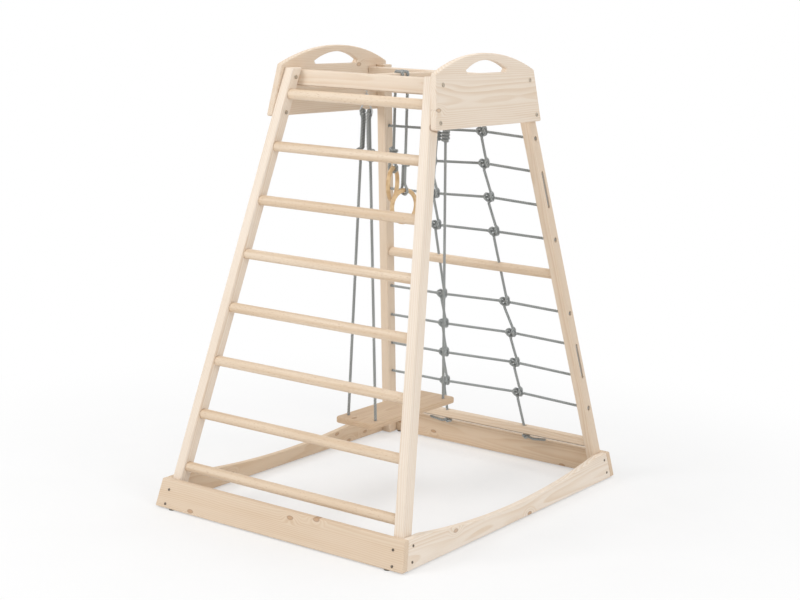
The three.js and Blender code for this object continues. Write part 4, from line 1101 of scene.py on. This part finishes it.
# The rings' rope where it goes twice over the beam
front_y, back_y = RING_Y - WRAP_PITCH, RING_Y + WRAP_PITCH
corners = [(-LASH_SIDE, RING_Y, LASH_END), (-LASH_SIDE, RING_Y, LASH_HIGH),
           (LASH_SIDE, front_y, LASH_HIGH), (LASH_SIDE, front_y, LASH_LOW),
           (-LASH_SIDE, back_y, LASH_LOW), (-LASH_SIDE, back_y, LASH_HIGH),
           (LASH_SIDE, RING_Y, LASH_HIGH), (LASH_SIDE, RING_Y, LASH_END)]
make("beam_lashing", rope(bent(corners, LACE_BEND)), ROPE_GREY, stands_for="ring_rope_wrap")

# Room: a pale floor, a white surround and soft lamps, each with its place, size and power
WHITE, FLOOR_LIGHT, FLOOR_DARK = (1, 1, 1, 1), (0.93, 0.93, 0.93, 1), (0.91, 0.91, 0.91, 1)
FLOOR_REACH, FLOOR_THICK, FLOOR_EDGE, FLOOR_DROP = 14, 0.02, 0.005, 0.0101
# From where to where the floor turns to white, and by how much
WHITE_FROM, WHITE_TO, LEAST_WHITE = 0.3, 2.0, 0.35
SURROUND_LIGHT, SURROUND_SEEN = 0.55, 1.0
LAMPS = {"key": ((-2.4, -4.2, 3.6), 2.6, 116), "side": ((4.6, -1.6, 2.4), 2.4, 54),
         "overhead": ((0.3, 1.2, 4.6), 3.0, 54)}


def seen_rays(tree):
    """One for rays that the eye sees, straight, in a gloss or through glass, and nought for others."""
    rays = tree.nodes.new("ShaderNodeLightPath")
    seen = rays.outputs["Is Camera Ray"]
    for other in ("Is Glossy Ray", "Is Transmission Ray"):
        either = tree.nodes.new("ShaderNodeMath")
        either.operation = "MAXIMUM"
        tree.links.new(seen, either.inputs[0])
        tree.links.new(rays.outputs[other], either.inputs[1])
        seen = either.outputs[0]
    return seen


def pale_floor():
    """A wide pale disc that turns to the surround's white away from the object, to the eye alone."""
    pale = Finish("pale_floor")
    place = pale.step("TexCoord", "Object")
    base = pale.mixed(pale.between(pale.cloud(place, 3, 3), 0.3, 0.7), FLOOR_LIGHT, FLOOR_DARK)
    pale.finished(base, 0.9, Specular_IOR_Level=0.0)
    away = pale.step("VectorMath", "Value", {"operation": "LENGTH"}, i0=place)
    share = pale.times(seen_rays(pale.tree), pale.between(away, WHITE_FROM, WHITE_TO, LEAST_WHITE, 1))
    glow = pale.step("Emission", 0, Color=WHITE, Strength=1.0)
    out = pale.step("MixShader", 0, i0=share, i1=pale.shader.outputs[0], i2=glow)
    pale.tree.links.new(out, pale.tree.nodes["Material Output"].inputs[0])
    ground = mesh_object("floor", slab([circle(FLOOR_REACH, 90)], FLOOR_THICK, FLOOR_EDGE,
                                       lambda x, y, w: np.stack([x, y, w - FLOOR_DROP], -1)))
    ground.data.materials.append(pale.material)


def white_surround():
    """A world that is white to the eye and dimmer as a lamp."""
    world = bpy.data.worlds.new("surround")
    bpy.context.scene.world = world
    world.use_nodes = True
    tree = world.node_tree
    tree.nodes.clear()
    choice = tree.nodes.new("ShaderNodeMixShader")
    tree.links.new(seen_rays(tree), choice.inputs[0])
    for number, strength in enumerate((SURROUND_LIGHT, SURROUND_SEEN), 1):
        light = tree.nodes.new("ShaderNodeBackground")
        light.inputs["Color"].default_value = WHITE
        light.inputs["Strength"].default_value = strength
        tree.links.new(light.outputs[0], choice.inputs[number])
    tree.links.new(choice.outputs[0], tree.nodes.new("ShaderNodeOutputWorld").inputs[0])


def soft_lamps():
    """Soft round lamps that face the object's middle."""
    for name, (spot, size, power) in LAMPS.items():
        lamp = bpy.data.lights.new(name, "AREA")
        lamp.shape, lamp.size, lamp.energy = "DISK", size, power
        holder = bpy.data.objects.new(name, lamp)
        bpy.context.collection.objects.link(holder)
        holder.location = spot
        holder.rotation_euler = (AIM - Vector(spot)).to_track_quat("-Z", "Y").to_euler()


pale_floor()
white_surround()
soft_lamps()
bpy.context.scene.view_settings.view_transform = "Standard"
